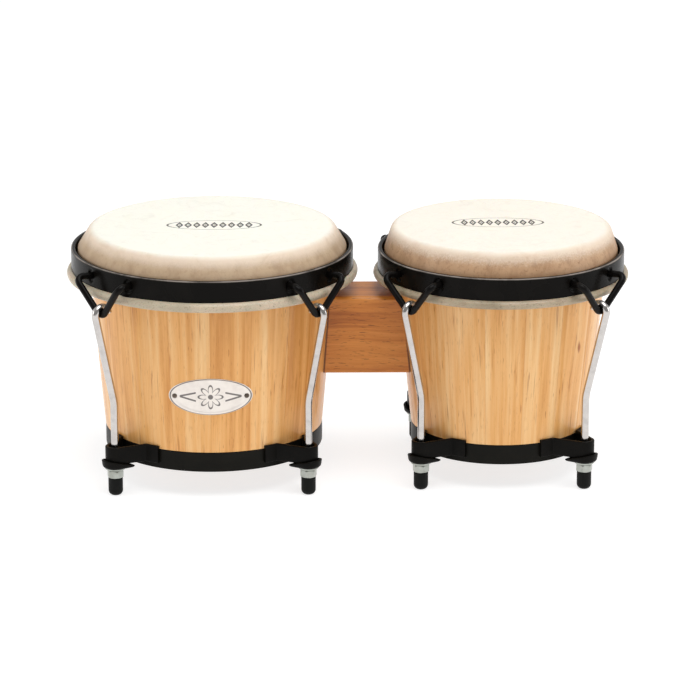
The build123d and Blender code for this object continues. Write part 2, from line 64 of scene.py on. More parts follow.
MM = 0.001
LEVEL = 0
BACK_SEAM = math.pi / 2
GRAIN_UV = "grain"
# name of the stored mark for the painted highlight on the rim's top edge
PAINTED_EDGE_HIGHLIGHT = "edge_rub"
SHARP_DEG = 38.0
BAR_SHARP_DEG = 50.0
WELD = 1e-7
RIM_WALL = 3.2 * MM
EDGE_ROUND = 4 * MM
FRAME_BODY = "drum_frame"


# ------------------------------------------------------------------ choices and places
class Lug(Enum):
    """The four lug stations of a drum, with their angle in degrees seen from above."""

    FRONT_LEFT = 225.0
    FRONT_RIGHT = 315.0
    REAR_RIGHT = 45.0
    REAR_LEFT = 135.0

    @property
    def place(self) -> str:
        """The station's name as the frame's nodes spell it."""
        return self.name.lower()

    @property
    def turn(self) -> Matrix:
        """The turn about Z that takes the +X side of a drum to this station."""
        return Matrix.Rotation(math.radians(self.value), 4, "Z")


class Side(Enum):
    """Which way a drum looks at the centre block."""

    RIGHT = 1
    LEFT = -1


@dataclass(frozen=True)
class DrumPlace:
    """Where one drum stands and how big its rounds are, read from the frame's nodes."""

    name: str
    axis_x: float
    block_side: Side
    ring_r: float
    ring_high: float
    shell_top_r: float
    edge_z: float
    head_z: float
    rim_r: float
    rim_low: float
    rim_high: float
    roll_out_r: float
    roll_low: float
    roll_high: float
    belly: float
    rod_r: float

    @classmethod
    def read(cls, name: str, block_side: Side, belly: float) -> "DrumPlace":
        """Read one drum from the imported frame.

        Args:
            name: the drum's name in the frame, "large" or "small".
            block_side: the side on which the centre block lies.
            belly: how far the staves swell out half-way up.

        Returns:
            The drum's place and main sizes.
        """
        ring_lo, ring_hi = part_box(f"{name}_bottom_ring")
        rim_lo, rim_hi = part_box(f"{name}_rim")
        roll_lo, roll_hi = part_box(f"{name}_skin_roll")
        shell_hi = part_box(f"{name}_shell")[1]
        nut_lo, nut_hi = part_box(f"{name}_nut_rear_right")
        axis_x = (ring_lo.x + ring_hi.x) / 2
        nut = (nut_lo + nut_hi) / 2
        return cls(
            name=name, axis_x=axis_x, block_side=block_side,
            ring_r=ring_hi.x - axis_x, ring_high=ring_hi.z,
            shell_top_r=shell_hi.y, edge_z=shell_hi.z, head_z=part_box(f"{name}_head")[1].z,
            rim_r=rim_hi.y, rim_low=rim_lo.z, rim_high=rim_hi.z,
            roll_out_r=roll_hi.y, roll_low=roll_lo.z, roll_high=roll_hi.z,
            belly=belly, rod_r=math.hypot(nut.x - axis_x, nut.y),
        )

    @property
    def tuning_body(self) -> str:
        """The body that moves when this drum is tuned."""
        return f"{self.name}_tuning"

    @property
    def hide_bend(self) -> tuple[float, float]:
        """How far down the skin, from the middle of the head, its bend starts and ends."""
        return self.shell_top_r - 5 * MM, self.shell_top_r + 1.5 * MM

    def shell_radius(self, z: float) -> float:
        """Outer radius of the staves at a height: a straight taper with a slight belly."""
        t = (z - self.ring_high) / (self.edge_z - self.ring_high)
        return self.ring_r + (self.shell_top_r - self.ring_r) * t + 4 * self.belly * t * (1 - t)

    def at_lug(self, lug: Lug) -> Matrix:
        """The move from a drum's +X side at the origin to one of its lug stations."""
        return Matrix.Translation((self.axis_x, 0, 0)) @ lug.turn


# ------------------------------------------------------------------ mesh helpers
def new_object(name: str, mesh: Mesh) -> Piece:
    """Put a mesh in the scene as an object at the origin."""
    made = bpy.data.objects.new(name, mesh)
    bpy.context.scene.collection.objects.link(made)
    return made


def finish_mesh(mesh: Mesh) -> None:
    """Merge doubles, turn the faces outwards and shade the mesh smooth up to an angle."""
    edit = bmesh.new()
    edit.from_mesh(mesh)
    bmesh.ops.remove_doubles(edit, verts=edit.verts, dist=WELD)
    bmesh.ops.recalc_face_normals(edit, faces=edit.faces)
    edit.to_mesh(mesh)
    edit.free()
    mesh.polygons.foreach_set("use_smooth", [True] * len(mesh.polygons))
    mesh.set_sharp_from_angle(angle=math.radians(SHARP_DEG))
    mesh.update()


def map_vertices(mesh: Mesh, places: Sequence[tuple[float, float]]) -> None:
    """Give a mesh its UV map from one place for each vertex."""
    corner = np.zeros(len(mesh.loops), dtype=np.int32)
    mesh.loops.foreach_get("vertex_index", corner)
    layer = mesh.uv_layers.new(name=GRAIN_UV)
    layer.data.foreach_set("uv", np.array(places)[corner].ravel())


def keep_modified(piece: Piece) -> None:
    """Make the mesh what the piece's modifiers make of it, and take them off."""
    depsgraph = bpy.context.evaluated_depsgraph_get()
    made = bpy.data.meshes.new_from_object(
        piece.evaluated_get(depsgraph), preserve_all_data_layers=True, depsgraph=depsgraph)
    piece.modifiers.clear()
    piece.data = made


def turned_mesh(
    name: str, turns: np.ndarray, radius: np.ndarray, height: np.ndarray, axis_x: float
) -> Piece:
    """Make a closed mesh of revolution whose outline may differ at every turn.

    Args:
        name: the piece's name.
        turns: the angle of each column, in radians, once round.
        radius: columns by outline points; where the first and last radius are zero they are poles.
        height: the outline points' heights, in the same order.
        axis_x: where the axis stands.

    Returns:
        The object, with a UV map of distance round the axis and distance along the outline.
    """
    columns, points = radius.shape
    poles = bool(radius[0, 0] < 1e-9)
    x = axis_x + radius * np.cos(turns)[:, None]
    y = radius * np.sin(turns)[:, None]
    verts = np.stack([x, y, height], axis=2).reshape(-1, 3)
    last = points - 1 if poles else points
    faces = []
    for i in range(columns):
        here, there = i * points, (i + 1) % columns * points
        for k in range(last):
            up = (k + 1) % points
            faces.append((here + k, there + k, there + up, here + up))
    mesh = bpy.data.meshes.new(name)
    mesh.from_pydata(verts.tolist(), [], faces)
    step = np.hypot(np.diff(radius[0]), np.diff(height[0]))
    along = np.concatenate([[0.0], np.cumsum(step), [step.sum() + math.hypot(
        radius[0, 0] - radius[0, -1], height[0, 0] - height[0, -1])]])
    around = np.concatenate([turns - turns[0], [2 * math.pi]]) * radius.max()
    uv = np.empty((len(faces), 4, 2))
    cell = np.arange(len(faces))
    column, row = cell // last, cell % last
    for corner, (aside, up) in enumerate(((0, 0), (1, 0), (1, 1), (0, 1))):
        uv[:, corner] = np.stack([around[column + aside], along[row + up]], 1)
    layer = mesh.uv_layers.new(name=GRAIN_UV)
    layer.data.foreach_set("uv", uv.ravel())
    finish_mesh(mesh)
    return new_object(name, mesh)


def even_turns(count: int) -> np.ndarray:
    """Evenly spaced angles once round, starting at the back."""
    return BACK_SEAM + np.arange(count) * 2 * math.pi / count


def same_outline(outline: np.ndarray, count: int) -> tuple[np.ndarray, np.ndarray]:
    """Repeat one outline for a number of columns, as radius and height arrays."""
    radius = np.repeat(outline[None, :, 0], count, axis=0)
    height = np.repeat(outline[None, :, 1], count, axis=0)
    return radius, height


def rounded(corners: Sequence[tuple[float, float, float]], steps: int = 5, loop: bool = True) -> np.ndarray:
    """Round the corners of an outline.

    Args:
        corners: radius, height and rounding radius of each corner.
        steps: points on each rounding, less one.
        loop: whether the outline closes on itself; otherwise its two ends stay sharp.

    Returns:
        The outline's points as an array of radius and height.
    """
    points = []
    count = len(corners)
    for i, (r, z, bend) in enumerate(corners):
        here = Vector((r, z))
        if bend <= 0 or (not loop and i in (0, count - 1)):
            points.append(here)
            continue
        before = Vector(corners[i - 1][:2]) - here
        after = Vector(corners[(i + 1) % count][:2]) - here
        half = before.angle(after) / 2
        reach = bend / math.tan(half)
        start = here + before.normalized() * reach
        end = here + after.normalized() * reach
        centre = here + (before.normalized() + after.normalized()).normalized() * bend / math.sin(half)
        a0 = math.atan2(start.y - centre.y, start.x - centre.x)
        a1 = math.atan2(end.y - centre.y, end.x - centre.x)
        sweep = (a1 - a0 + math.pi) % (2 * math.pi) - math.pi
        for k in range(steps + 1):
            a = a0 + sweep * k / steps
            points.append(centre + bend * Vector((math.cos(a), math.sin(a))))
    return np.array([tuple(p) for p in points])


def refined(outline: np.ndarray, longest: float, loop: bool = True) -> np.ndarray:
    """Add points to an outline so that no run is longer than a given length."""
    count = len(outline)
    made = []
    for i in range(count if loop else count - 1):
        a, b = outline[i], outline[(i + 1) % count]
        parts = max(1, math.ceil(np.linalg.norm(b - a) / longest))
        made += [a + (b - a) * k / parts for k in range(parts)]
    if not loop:
        made.append(outline[-1])
    return np.array(made)


def ripple(turns: np.ndarray, seed: float, waves: Sequence[tuple[float, float]]) -> np.ndarray:
    """A smooth closed unevenness round a circle.

    Args:
        turns: the angles at which it is wanted.
        seed: where in the noise it is read, so that no two rounds are alike.
        waves: pairs of waves per turn and height.

    Returns:
        The unevenness at each angle.
    """
    total = np.zeros(len(turns))
    for per_turn, height in waves:
        reach = per_turn / (2 * math.pi)
        total += height * np.array([
            noise.noise(Vector((math.cos(t) * reach, math.sin(t) * reach, seed))) for t in turns])
    return total


# ------------------------------------------------------------------ material helper
class NodeGraph:
    """A short way to write a tree of nodes."""

    def __init__(self, tree: bpy.types.NodeTree) -> None:
        """Start on a tree, without any nodes it may hold."""
        self.tree = tree
        self.tree.nodes.clear()

    def node(self, kind: str, inputs: dict | None = None, **settings: object) -> bpy.types.Node:
        """Add a node.

        Args:
            kind: the node's type.
            inputs: values or sockets for its inputs, by name or number.
            settings: properties of the node itself.

        Returns:
            The node.
        """
        made = self.tree.nodes.new(kind)
        for key, value in settings.items():
            setattr(made, key, value)
        for key, value in (inputs or {}).items():
            self.feed(made.inputs[key], value)
        return made

    def feed(self, socket: Socket, value: object) -> None:
        """Give a socket a value, or link it from another socket."""
        if isinstance(value, Socket):
            self.tree.links.new(value, socket)
        else:
            socket.default_value = value

    def math(self, operation: str, *values: object) -> Socket:
        """One Math node."""
        return self.node("ShaderNodeMath", dict(enumerate(values)), operation=operation).outputs[0]

    def sum(self, a: object, b: object) -> Socket:
        """a + b."""
        return self.math("ADD", a, b)

    def less(self, a: object, b: object) -> Socket:
        """a - b."""
        return self.math("SUBTRACT", a, b)

    def times(self, a: object, b: object) -> Socket:
        """a times b."""
        return self.math("MULTIPLY", a, b)

    def size(self, a: object) -> Socket:
        """a without its sign."""
        return self.math("ABSOLUTE", a)

    def length(self, a: object, b: object) -> Socket:
        """The length of the diagonal of a and b."""
        return self.math("SQRT", self.sum(self.times(a, a), self.times(b, b)))


class Wiring(NodeGraph):
    """A material under construction."""

    def __init__(self, name: str) -> None:
        """Start an empty material with a Principled shader at its output."""
        self.material = bpy.data.materials.new(name)
        self.material.use_nodes = True
        super().__init__(self.material.node_tree)
        self.shader = self.node("ShaderNodeBsdfPrincipled")
        self.node("ShaderNodeOutputMaterial", {"Surface": self.shader.outputs["BSDF"]})

    def shade(self, **values: object) -> None:
        """Set the shader's sockets; underscores stand for spaces."""
        for key, value in values.items():
            self.feed(self.shader.inputs[key.replace("_", " ")], value)

    def place(self) -> Socket:
        """The point on the object, in metres."""
        return self.node("ShaderNodeTexCoord").outputs["Object"]

    def uv(self) -> Socket:
        """The piece's own UV map of distances."""
        return self.node("ShaderNodeUVMap", uv_map=GRAIN_UV).outputs["UV"]

    def stored(self, name: str) -> Socket:
        """A number stored on the piece's mesh."""
        return self.node("ShaderNodeAttribute", attribute_name=name).outputs["Fac"]

    def stretch(self, point: object, scale: tuple, move: tuple = (0, 0, 0)) -> Socket:
        """Scale and shift a point."""
        return self.node(
            "ShaderNodeMapping", {"Vector": point, "Scale": scale, "Location": move}).outputs[0]

    def noise(self, point: object, scale: tuple | float, detail: float = 3.0, rough: float = 0.55,
              distort: float = 0.0, move: tuple = (0, 0, 0)) -> Socket:
        """A noise from 0 to 1, at the given number of waves a metre along each axis."""
        scales = scale if isinstance(scale, tuple) else (scale, scale, scale)
        return self.node("ShaderNodeTexNoise", {
            "Vector": self.stretch(point, scales, move), "Scale": 1.0, "Detail": detail,
            "Roughness": rough, "Distortion": distort}).outputs["Fac"]

    def step(self, value: object, low: float, high: float, out: tuple = (0.0, 1.0)) -> Socket:
        """Fade a value smoothly from one level to another."""
        return self.node("ShaderNodeMapRange", {
            "Value": value, "From Min": low, "From Max": high, "To Min": out[0], "To Max": out[1],
        }, interpolation_type="SMOOTHSTEP").outputs[0]

    def ramp(self, value: object, stops: Sequence[tuple[float, tuple]]) -> Socket:
        """Colours along a value."""
        made = self.node("ShaderNodeValToRGB", {"Fac": value})
        bar = made.color_ramp.elements
        while len(bar) < len(stops):
            bar.new(0.5)
        for element, (at, colour) in zip(bar, stops):
            element.position = at
            element.color = (*colour, 1.0)
        return made.outputs["Color"]

    def mix(self, share: object, a: object, b: object, blend: str = "MIX") -> Socket:
        """Mix two colours."""
        made = self.node("ShaderNodeMix", data_type="RGBA", blend_type=blend)
        self.feed(made.inputs[0], share)
        self.feed(made.inputs[6], a if isinstance(a, Socket) else (*a, 1.0))
        self.feed(made.inputs[7], b if isinstance(b, Socket) else (*b, 1.0))
        return made.outputs[2]

    def bump(self, height: object, depth: float, strength: float = 1.0) -> None:
        """Roughen the surface by a height from 0 to 1 times a depth in metres."""
        made = self.node("ShaderNodeBump", {"Height": height, "Distance": depth, "Strength": strength})
        self.feed(self.shader.inputs["Normal"], made.outputs[0])

    def split(self, point: object) -> bpy.types.NodeOutputs:
        """The X, Y and Z of a point."""
        return self.node("ShaderNodeSeparateXYZ", {"Vector": point}).outputs

    def join(self, x: object, y: object, z: object = 0.0) -> Socket:
        """A point from its X, Y and Z."""
        return self.node("ShaderNodeCombineXYZ", {0: x, 1: y, 2: z}).outputs[0]


def tint(red: int, green: int, blue: int) -> tuple[float, float, float]:
    """A colour given as it looks on a screen, 0 to 255, as the shader wants it."""
    return tuple(
        (c / 12.92 if c <= 0.04045 else ((c + 0.055) / 1.055) ** 2.4)
        for c in (red / 255, green / 255, blue / 255))


# ------------------------------------------------------------------ finishes
@dataclass(frozen=True)
class Knot:
    """A small dark pin knot, where it lies on the front of a shell and how big it is."""

    x: float
    z: float
    wide: float
    tall: float


@dataclass(frozen=True)
class StaveWood:
    """Straight-grained honey-coloured wood; the lacquered outside and the bare inside."""

    name: str
    pale: Colour
    honey: Colour
    brown: Colour
    fleck: Colour
    lacquer: float
    roughness: float
    knots: tuple[Knot, ...] = ()

    def material(self) -> Material:
        """Build the wood: per-stave tone, broad bands, fine lines, pores and knots."""
        w = Wiring(self.name)
        tone = w.stored("stave_tone")
        shift = w.stored("stave_shift")
        joint = w.stored("stave_joint")
        u, v, _ = w.split(w.uv())
        grain = w.join(w.sum(u, shift), w.sum(v, w.times(shift, 0.37)))
        sway = w.less(w.noise(grain, (38.0, 9.0, 1.0), 2.0), 0.5)
        grain_x, grain_y, _ = w.split(grain)
        line = w.join(w.sum(grain_x, w.times(sway, 4.5 * MM)), grain_y)
        broad = w.step(w.noise(line, (95.0, 3.5, 1.0), 2.0, 0.5), 0.30, 0.70)
        bands = w.step(w.noise(line, (230.0, 8.0, 1.0), 3.0, 0.55), 0.30, 0.70)
        fine = w.noise(line, (1500.0, 26.0, 1.0), 3.0, 0.6)
        pores = w.step(w.noise(line, (2300.0, 120.0, 1.0), 2.0, 0.5), 0.62, 0.70)
        streak = w.step(w.noise(line, (430.0, 22.0, 1.0), 2.0, 0.5, move=(3.1, 0.7, 0)), 0.60, 0.76)
        specks = w.step(w.noise(line, (900.0, 75.0, 1.0), 2.0, 0.5, move=(1.7, 4.2, 0)), 0.66, 0.74)
        mixed = w.sum(w.times(broad, 0.36), w.times(tone, 0.26))
        mixed = w.sum(mixed, w.times(bands, 0.38))
        colour = w.ramp(mixed, [(0.12, self.brown), (0.46, self.honey), (0.88, self.pale)])
        colour = w.mix(w.step(fine, 0.30, 0.70), w.mix(0.22, colour, self.brown), colour)
        colour = w.mix(w.times(streak, 0.62), colour, self.fleck)
        colour = w.mix(w.times(pores, 0.35), colour, self.fleck)
        colour = w.mix(w.times(specks, 0.60), colour, self.fleck)
        colour = w.mix(w.times(joint, 0.35), colour, self.fleck)
        for knot in self.knots:
            colour = w.mix(self._knot(w, knot, sway), colour, self.fleck)
        w.shade(Base_Color=colour, Coat_Weight=self.lacquer, Coat_Roughness=0.06, Coat_IOR=1.5)
        w.shade(Specular_IOR_Level=0.15)
        w.shade(Roughness=w.step(fine, 0.2, 0.8, (self.roughness - 0.06, self.roughness + 0.08)))
        w.bump(w.sum(fine, w.times(pores, -0.7)), 0.05 * MM, 0.4)
        return w.material

    def _knot(self, w: Wiring, knot: Knot, sway: Socket) -> Socket:
        """How much of a knot's dark colour lies at a point on the front of the shell."""
        x, y, z = w.split(w.place())
        across = w.math("DIVIDE", w.less(x, knot.x), knot.wide)
        across = w.sum(across, w.times(sway, 1.2))
        along = w.math("DIVIDE", w.less(z, knot.z), knot.tall)
        reach = w.sum(*(w.math("POWER", w.size(part), 1.4) for part in (across, along)))
        front = w.math("LESS_THAN", y, 0.0)
        return w.times(w.times(w.step(reach, 1.0, 0.1), front), 0.85)


@dataclass(frozen=True)
class WallCone:
    """Where a shell's wall stands beside the block: its radius at Z = 0 and its growth with height."""

    axis_x: float
    foot_r: float
    growth: float

    @classmethod
    def beside(cls, drum: DrumPlace, low: float, high: float) -> "WallCone":
        """Take the cone through the shell's radius at two heights."""
        growth = (drum.shell_radius(high) - drum.shell_radius(low)) / (high - low)
        return cls(drum.axis_x, drum.shell_radius(low) - growth * low, growth)


@dataclass(frozen=True)
class BlockWood:
    """Red-brown lacquered hardwood with short dark flecks, its grain along X."""

    name: str
    pale: Colour
    red: Colour
    brown: Colour
    fleck: Colour
    walls: tuple[WallCone, ...] = ()

    def material(self) -> Material:
        """Build the wood from rings that run along X, fine lines and pores, darkened where each shell meets
        it: partly a glue line, partly painted shade in the joint.
        """
        w = Wiring(self.name)
        point = w.place()
        sway = w.less(w.noise(point, (16.0, 30.0, 30.0), 2.0), 0.5)
        x, y, z = w.split(point)
        bent = w.join(x, w.sum(y, w.times(sway, 6 * MM)), w.sum(z, w.times(sway, 9 * MM)))
        broad = w.noise(bent, (7.0, 120.0, 120.0), 3.0, 0.5)
        bands = w.noise(bent, (16.0, 420.0, 420.0), 3.0, 0.6)
        fine = w.noise(bent, (50.0, 1500.0, 1500.0), 3.0, 0.6)
        pores = w.step(w.noise(bent, (150.0, 1700.0, 1700.0), 2.0, 0.5), 0.62, 0.70)
        tone = w.sum(w.times(broad, 0.65), w.times(bands, 0.40))
        colour = w.ramp(tone, [(0.34, self.brown), (0.50, self.red), (0.72, self.pale)])
        colour = w.mix(w.step(fine, 0.35, 0.7), w.mix(0.18, colour, self.brown), colour)
        colour = w.mix(w.times(pores, 0.62), colour, self.fleck)
        # dark band where each shell meets the block: partly a glue line, partly painted shade in the joint
        for wall in self.walls:
            across = w.less(x, wall.axis_x)
            reach = w.length(across, y)
            stands = w.sum(wall.foot_r, w.times(z, wall.growth))
            joint_line_and_shade = w.step(w.less(reach, stands), 1.5 * MM, 0.7 * MM, (0.0, 0.85))
            colour = w.mix(joint_line_and_shade, colour, self.fleck)
        w.shade(Base_Color=colour, Coat_Weight=0.35, Coat_Roughness=0.10, Coat_IOR=1.5)
        w.shade(Roughness=w.step(fine, 0.2, 0.8, (0.34, 0.50)), Specular_IOR_Level=0.15)
        w.bump(w.sum(fine, w.times(pores, -0.8)), 0.05 * MM, 0.5)
        return w.material


@dataclass(frozen=True)
class HeadPrint:
    """The plain ornament printed on a head: a thin oval ring round a row of lozenges."""

    centre_x: float
    centre_y: float
    half_w: float
    half_h: float
    ring_at: float = 0.98
    lozenges: int = 11
    outline_at: float = 0.66


@dataclass(frozen=True)
class HeadHide:
    """Scraped rawhide: ivory where it is beaten, beige and speckled down the side."""

    name: str
    ivory: Colour
    grey: Colour
    beige: Colour
    brown: Colour
    speckle: float
    print: HeadPrint
    bend_from: float
    bend_to: float
    blush: Colour = tint(226, 207, 186)
    ink: Colour = tint(40, 37, 35)

    def material(self) -> Material:
        """Build the hide from height on the skin, cloudy mottling and veins; low on the side it darkens,
        partly as the hide's own colour and partly as painted shade under the rim.
        """
        w = Wiring(self.name)
        point = w.place()
        _, down, _ = w.split(w.uv())
        cloud = w.noise(point, 26.0, 4.0, 0.6, 0.6)
        patch = w.noise(point, (60.0, 60.0, 60.0), 4.0, 0.65, 1.2, (4.0, 1.0, 0))
        grain = w.noise(point, 900.0, 3.0, 0.6)
        vein = w.size(w.less(w.noise(point, 34.0, 5.0, 0.7, 1.6, (9.0, 2.0, 0)), 0.5))
        top = w.mix(w.step(patch, 0.52, 0.80, (0.0, 0.40)), self.ivory, self.grey)
        top = w.mix(w.step(vein, 0.02, 0.0, (0.0, 0.20)), top, self.grey)
        low = w.sum(down, w.times(w.less(cloud, 0.5), 3 * MM))
        smear = w.noise(point, (90.0, 90.0, 24.0), 3.0, 0.6, 0.4)
        side = w.mix(w.step(smear, 0.38, 0.74, (0.0, 0.55)), self.beige, self.brown)
        spots = w.step(w.noise(point, (620.0, 620.0, 420.0), 3.0, 0.6), 0.56, 0.74)
        side = w.mix(w.times(spots, self.speckle), side, self.brown)
        blotch = w.step(w.noise(point, (300.0, 300.0, 240.0), 4.0, 0.65, 0.5, (2.0, 7.0, 0)), 0.50, 0.66)
        side = w.mix(w.times(blotch, 0.55 * self.speckle), side, self.brown)
        bend = w.mix(w.step(patch, 0.45, 0.75, (0.0, 0.30)), self.blush, self.beige)
        colour = w.mix(w.step(low, self.bend_from, self.bend_to), top, bend)
        ragged = w.sum(low, w.times(w.less(grain, 0.5), 9 * MM * self.speckle))
        colour = w.mix(w.step(ragged, self.bend_to - 1 * MM, self.bend_to + 8 * MM), colour, side)
        # darker low on the skirt towards the rim: partly the hide's own colour, partly painted shade from the
        # rim
        dim = w.step(low, self.bend_to + 7 * MM, self.bend_to + 16 * MM, (0.0, 0.55))
        colour = w.mix(dim, colour, self.brown)
        colour = w.mix(self._print(w, point, down), colour, self.ink)
        w.shade(Base_Color=colour, Subsurface_Weight=0.12, Subsurface_Scale=2 * MM)
        w.shade(Subsurface_Radius=(1.0, 0.6, 0.35), Specular_IOR_Level=0.4)
        w.shade(Roughness=w.step(cloud, 0.3, 0.7, (0.46, 0.60)))
        w.bump(w.sum(w.times(grain, 0.4), patch), 0.12 * MM, 0.5)
        return w.material

    def _print(self, w: Wiring, point: Socket, down: Socket) -> Socket:
        """How much ink lies at a point: a thin oval ring, and lozenges along the middle."""
        x, y, _ = w.split(point)
        across = w.math("DIVIDE", w.less(x, self.print.centre_x), self.print.half_w)
        along = w.math("DIVIDE", w.less(y, self.print.centre_y), self.print.half_h)
        reach = w.length(across, along)
        ring = w.step(w.size(w.less(reach, self.print.ring_at)), 0.028, 0.014)
        count = self.print.lozenges
        cell = w.less(w.math("FRACT", w.sum(w.times(across, count / 2), 0.5)), 0.5)
        far_along = w.size(along)
        lozenge = w.sum(w.size(w.times(cell, 2.0)), w.times(far_along, 1.45))
        edge = w.step(w.size(w.less(lozenge, self.print.outline_at)), 0.30, 0.20)
        heart = w.step(lozenge, 0.24, 0.16)
        inside = w.math("LESS_THAN", w.size(across), 1 - 2 / count)
        marks = w.times(w.math("MAXIMUM", edge, heart), inside)
        on_top = w.math("LESS_THAN", down, self.bend_from)
        worn = w.step(w.noise(point, 500.0, 3.0), 0.25, 0.5, (0.70, 0.95))
        return w.times(w.times(w.math("MAXIMUM", ring, marks), on_top), worn)


@dataclass(frozen=True)
class RollHide:
    """The lapped roll of rawhide: pale grey-green and cream, speckled and hard."""

    name: str
    cream: Colour
    green: Colour
    dark: Colour

    def material(self) -> Material:
        """Build the roll's mottling in three sizes."""
        w = Wiring(self.name)
        point = w.place()
        cloud = w.noise(point, (45.0, 45.0, 45.0), 3.0, 0.6, 0.5)
        spots = w.noise(point, 800.0, 3.0, 0.65, 0.4)
        grain = w.noise(point, 2200.0, 3.0, 0.6)
        colour = w.mix(w.step(cloud, 0.35, 0.70, (0.0, 0.8)), self.cream, self.green)
        colour = w.mix(w.step(spots, 0.52, 0.74, (0.0, 0.60)), colour, self.dark)
        colour = w.mix(w.step(grain, 0.56, 0.74, (0.0, 0.50)), colour, self.dark)
        w.shade(Base_Color=colour, Subsurface_Weight=0.15, Subsurface_Scale=2 * MM)
        w.shade(Roughness=w.step(cloud, 0.3, 0.7, (0.30, 0.50)))
        w.bump(w.sum(spots, w.times(grain, 0.4)), 0.25 * MM, 0.6)
        return w.material


@dataclass(frozen=True)
class BlackCoat:
    """Black paint on steel: how glossy it is, how far it is worn grey at its roughest, and the colour of a
    painted highlight laid on marked edges.
    """

    name: str
    black: Colour
    worn: Colour
    roughness: float
    peel: float
    shine: float = 0.5
    # light grey of the painted highlight
    rubbed: Colour = tint(158, 148, 140)

    def material(self) -> Material:
        """Build the paint with a faint orange peel, smudged gloss and a painted highlight where the mesh
        marks one.
        """
        w = Wiring(self.name)
        point = w.place()
        smudge = w.noise(point, 45.0, 4.0, 0.6, 0.5)
        peel = w.noise(point, 900.0, 2.0, 0.5)
        dust = w.step(w.noise(point, 2600.0, 2.0, 0.5), 0.70, 0.78)
        colour = w.mix(w.step(smudge, 0.4, 0.75, (0.0, 0.35)), self.black, self.worn)
        colour = w.mix(w.times(dust, 0.25), colour, self.worn)
        # painted highlight: light grey laid on the crest the mesh marks, broken up by the smudge noise
        highlight_share = w.times(w.stored(PAINTED_EDGE_HIGHLIGHT), w.step(smudge, 0.30, 0.62, (0.25, 0.95)))
        colour = w.mix(highlight_share, colour, self.rubbed)
        w.shade(Base_Color=colour, Specular_IOR_Level=self.shine)
        w.shade(Roughness=w.step(smudge, 0.3, 0.75, (self.roughness, self.roughness + 0.10)))
        w.bump(peel, self.peel, 0.5)
        return w.material


@dataclass(frozen=True)
class BareMetal:
    """Plated or bare metal with fine drawing marks along Z and faint spots."""

    name: str
    bright: Colour
    dull: Colour
    roughness: float
    marks: float

    def material(self) -> Material:
        """Build the metal with cloudy plating and long fine marks."""
        w = Wiring(self.name)
        point = w.place()
        cloud = w.noise(point, 160.0, 4.0, 0.6, 0.4)
        marks = w.noise(point, (2400.0, 2400.0, 60.0), 3.0, 0.6)
        spots = w.step(w.noise(point, 1400.0, 2.0, 0.5), 0.68, 0.78)
        colour = w.mix(w.step(cloud, 0.35, 0.75, (0.0, 0.6)), self.bright, self.dull)
        colour = w.mix(w.times(spots, 0.3), colour, self.dull)
        w.shade(Base_Color=colour, Metallic=1.0)
        w.shade(Roughness=w.step(marks, 0.25, 0.75, (self.roughness, self.roughness + self.marks)))
        w.bump(marks, 0.02 * MM, 0.3)
        return w.material


@dataclass(frozen=True)
class Rubber:
    """Black moulded rubber with a dusty bloom."""

    name: str
    black: Colour
    bloom: Colour

    def material(self) -> Material:
        """Build the rubber with a patchy bloom and fine texture."""
        w = Wiring(self.name)
        point = w.place()
        patch = w.noise(point, 220.0, 4.0, 0.6, 0.3)
        grain = w.noise(point, 2600.0, 2.0, 0.6)
        colour = w.mix(w.step(patch, 0.45, 0.8, (0.0, 0.5)), self.black, self.bloom)
        w.shade(Base_Color=colour, Specular_IOR_Level=0.12)
        w.shade(Roughness=w.step(patch, 0.3, 0.8, (0.48, 0.66)))
        w.bump(grain, 0.04 * MM, 0.5)
        return w.material


@dataclass(frozen=True)
class BadgePlate:
    """Silvery printed plate: a dark line round it and a plain rosette between bars."""

    name: str
    silver: Colour
    shade: Colour
    ink: Colour
    half_w: float
    half_h: float

    def material(self) -> Material:
        """Build the plate; its UV map is the distance from the badge's middle."""
        w = Wiring(self.name)
        u, v, _ = w.split(w.uv())
        point = w.place()
        cloud = w.noise(point, 120.0, 4.0, 0.6)
        brush = w.noise(point, (60.0, 60.0, 2600.0), 3.0, 0.6)
        colour = w.mix(w.step(cloud, 0.35, 0.75, (0.0, 0.7)), self.silver, self.shade)
        colour = w.mix(w.step(brush, 0.5, 0.8, (0.0, 0.25)), colour, self.shade)
        colour = w.mix(self._ink(w, u, v), colour, self.ink)
        w.shade(Base_Color=colour, Metallic=0.25, Coat_Weight=0.5, Coat_Roughness=0.12)
        w.shade(Roughness=w.step(brush, 0.3, 0.7, (0.30, 0.42)))
        w.bump(brush, 0.01 * MM, 0.3)
        return w.material

    def _ink(self, w: Wiring, u: Socket, v: Socket) -> Socket:
        """The printed ornament: border line, a petalled rosette and tapering bars beside it."""
        across = w.math("DIVIDE", u, self.half_w)
        along = w.math("DIVIDE", v, self.half_h)
        reach = w.length(across, along)
        border = w.step(w.size(w.less(reach, 0.965)), 0.022, 0.010)
        radius = w.length(u, v)
        angle = w.math("ARCTAN2", v, u)
        petals = w.size(w.math("COSINE", w.times(angle, 4.0)))
        bloom = w.sum(3.4 * MM, w.times(petals, 4.8 * MM))
        outline = w.step(w.size(w.less(radius, bloom)), 0.85 * MM, 0.50 * MM)
        hub = w.step(radius, 1.9 * MM, 1.6 * MM)
        far = w.size(u)
        taper = w.times(w.less(21.5 * MM, far), 0.26)
        rows = w.size(w.less(w.size(v), taper))
        bar = w.step(rows, 0.75 * MM, 0.50 * MM)
        bar = w.times(bar, w.math("GREATER_THAN", far, 10.0 * MM))
        bar = w.times(bar, w.math("LESS_THAN", far, 21.0 * MM))
        marks = w.math("MAXIMUM", w.math("MAXIMUM", outline, hub), w.math("MAXIMUM", border, bar))
        return w.times(marks, 0.85)


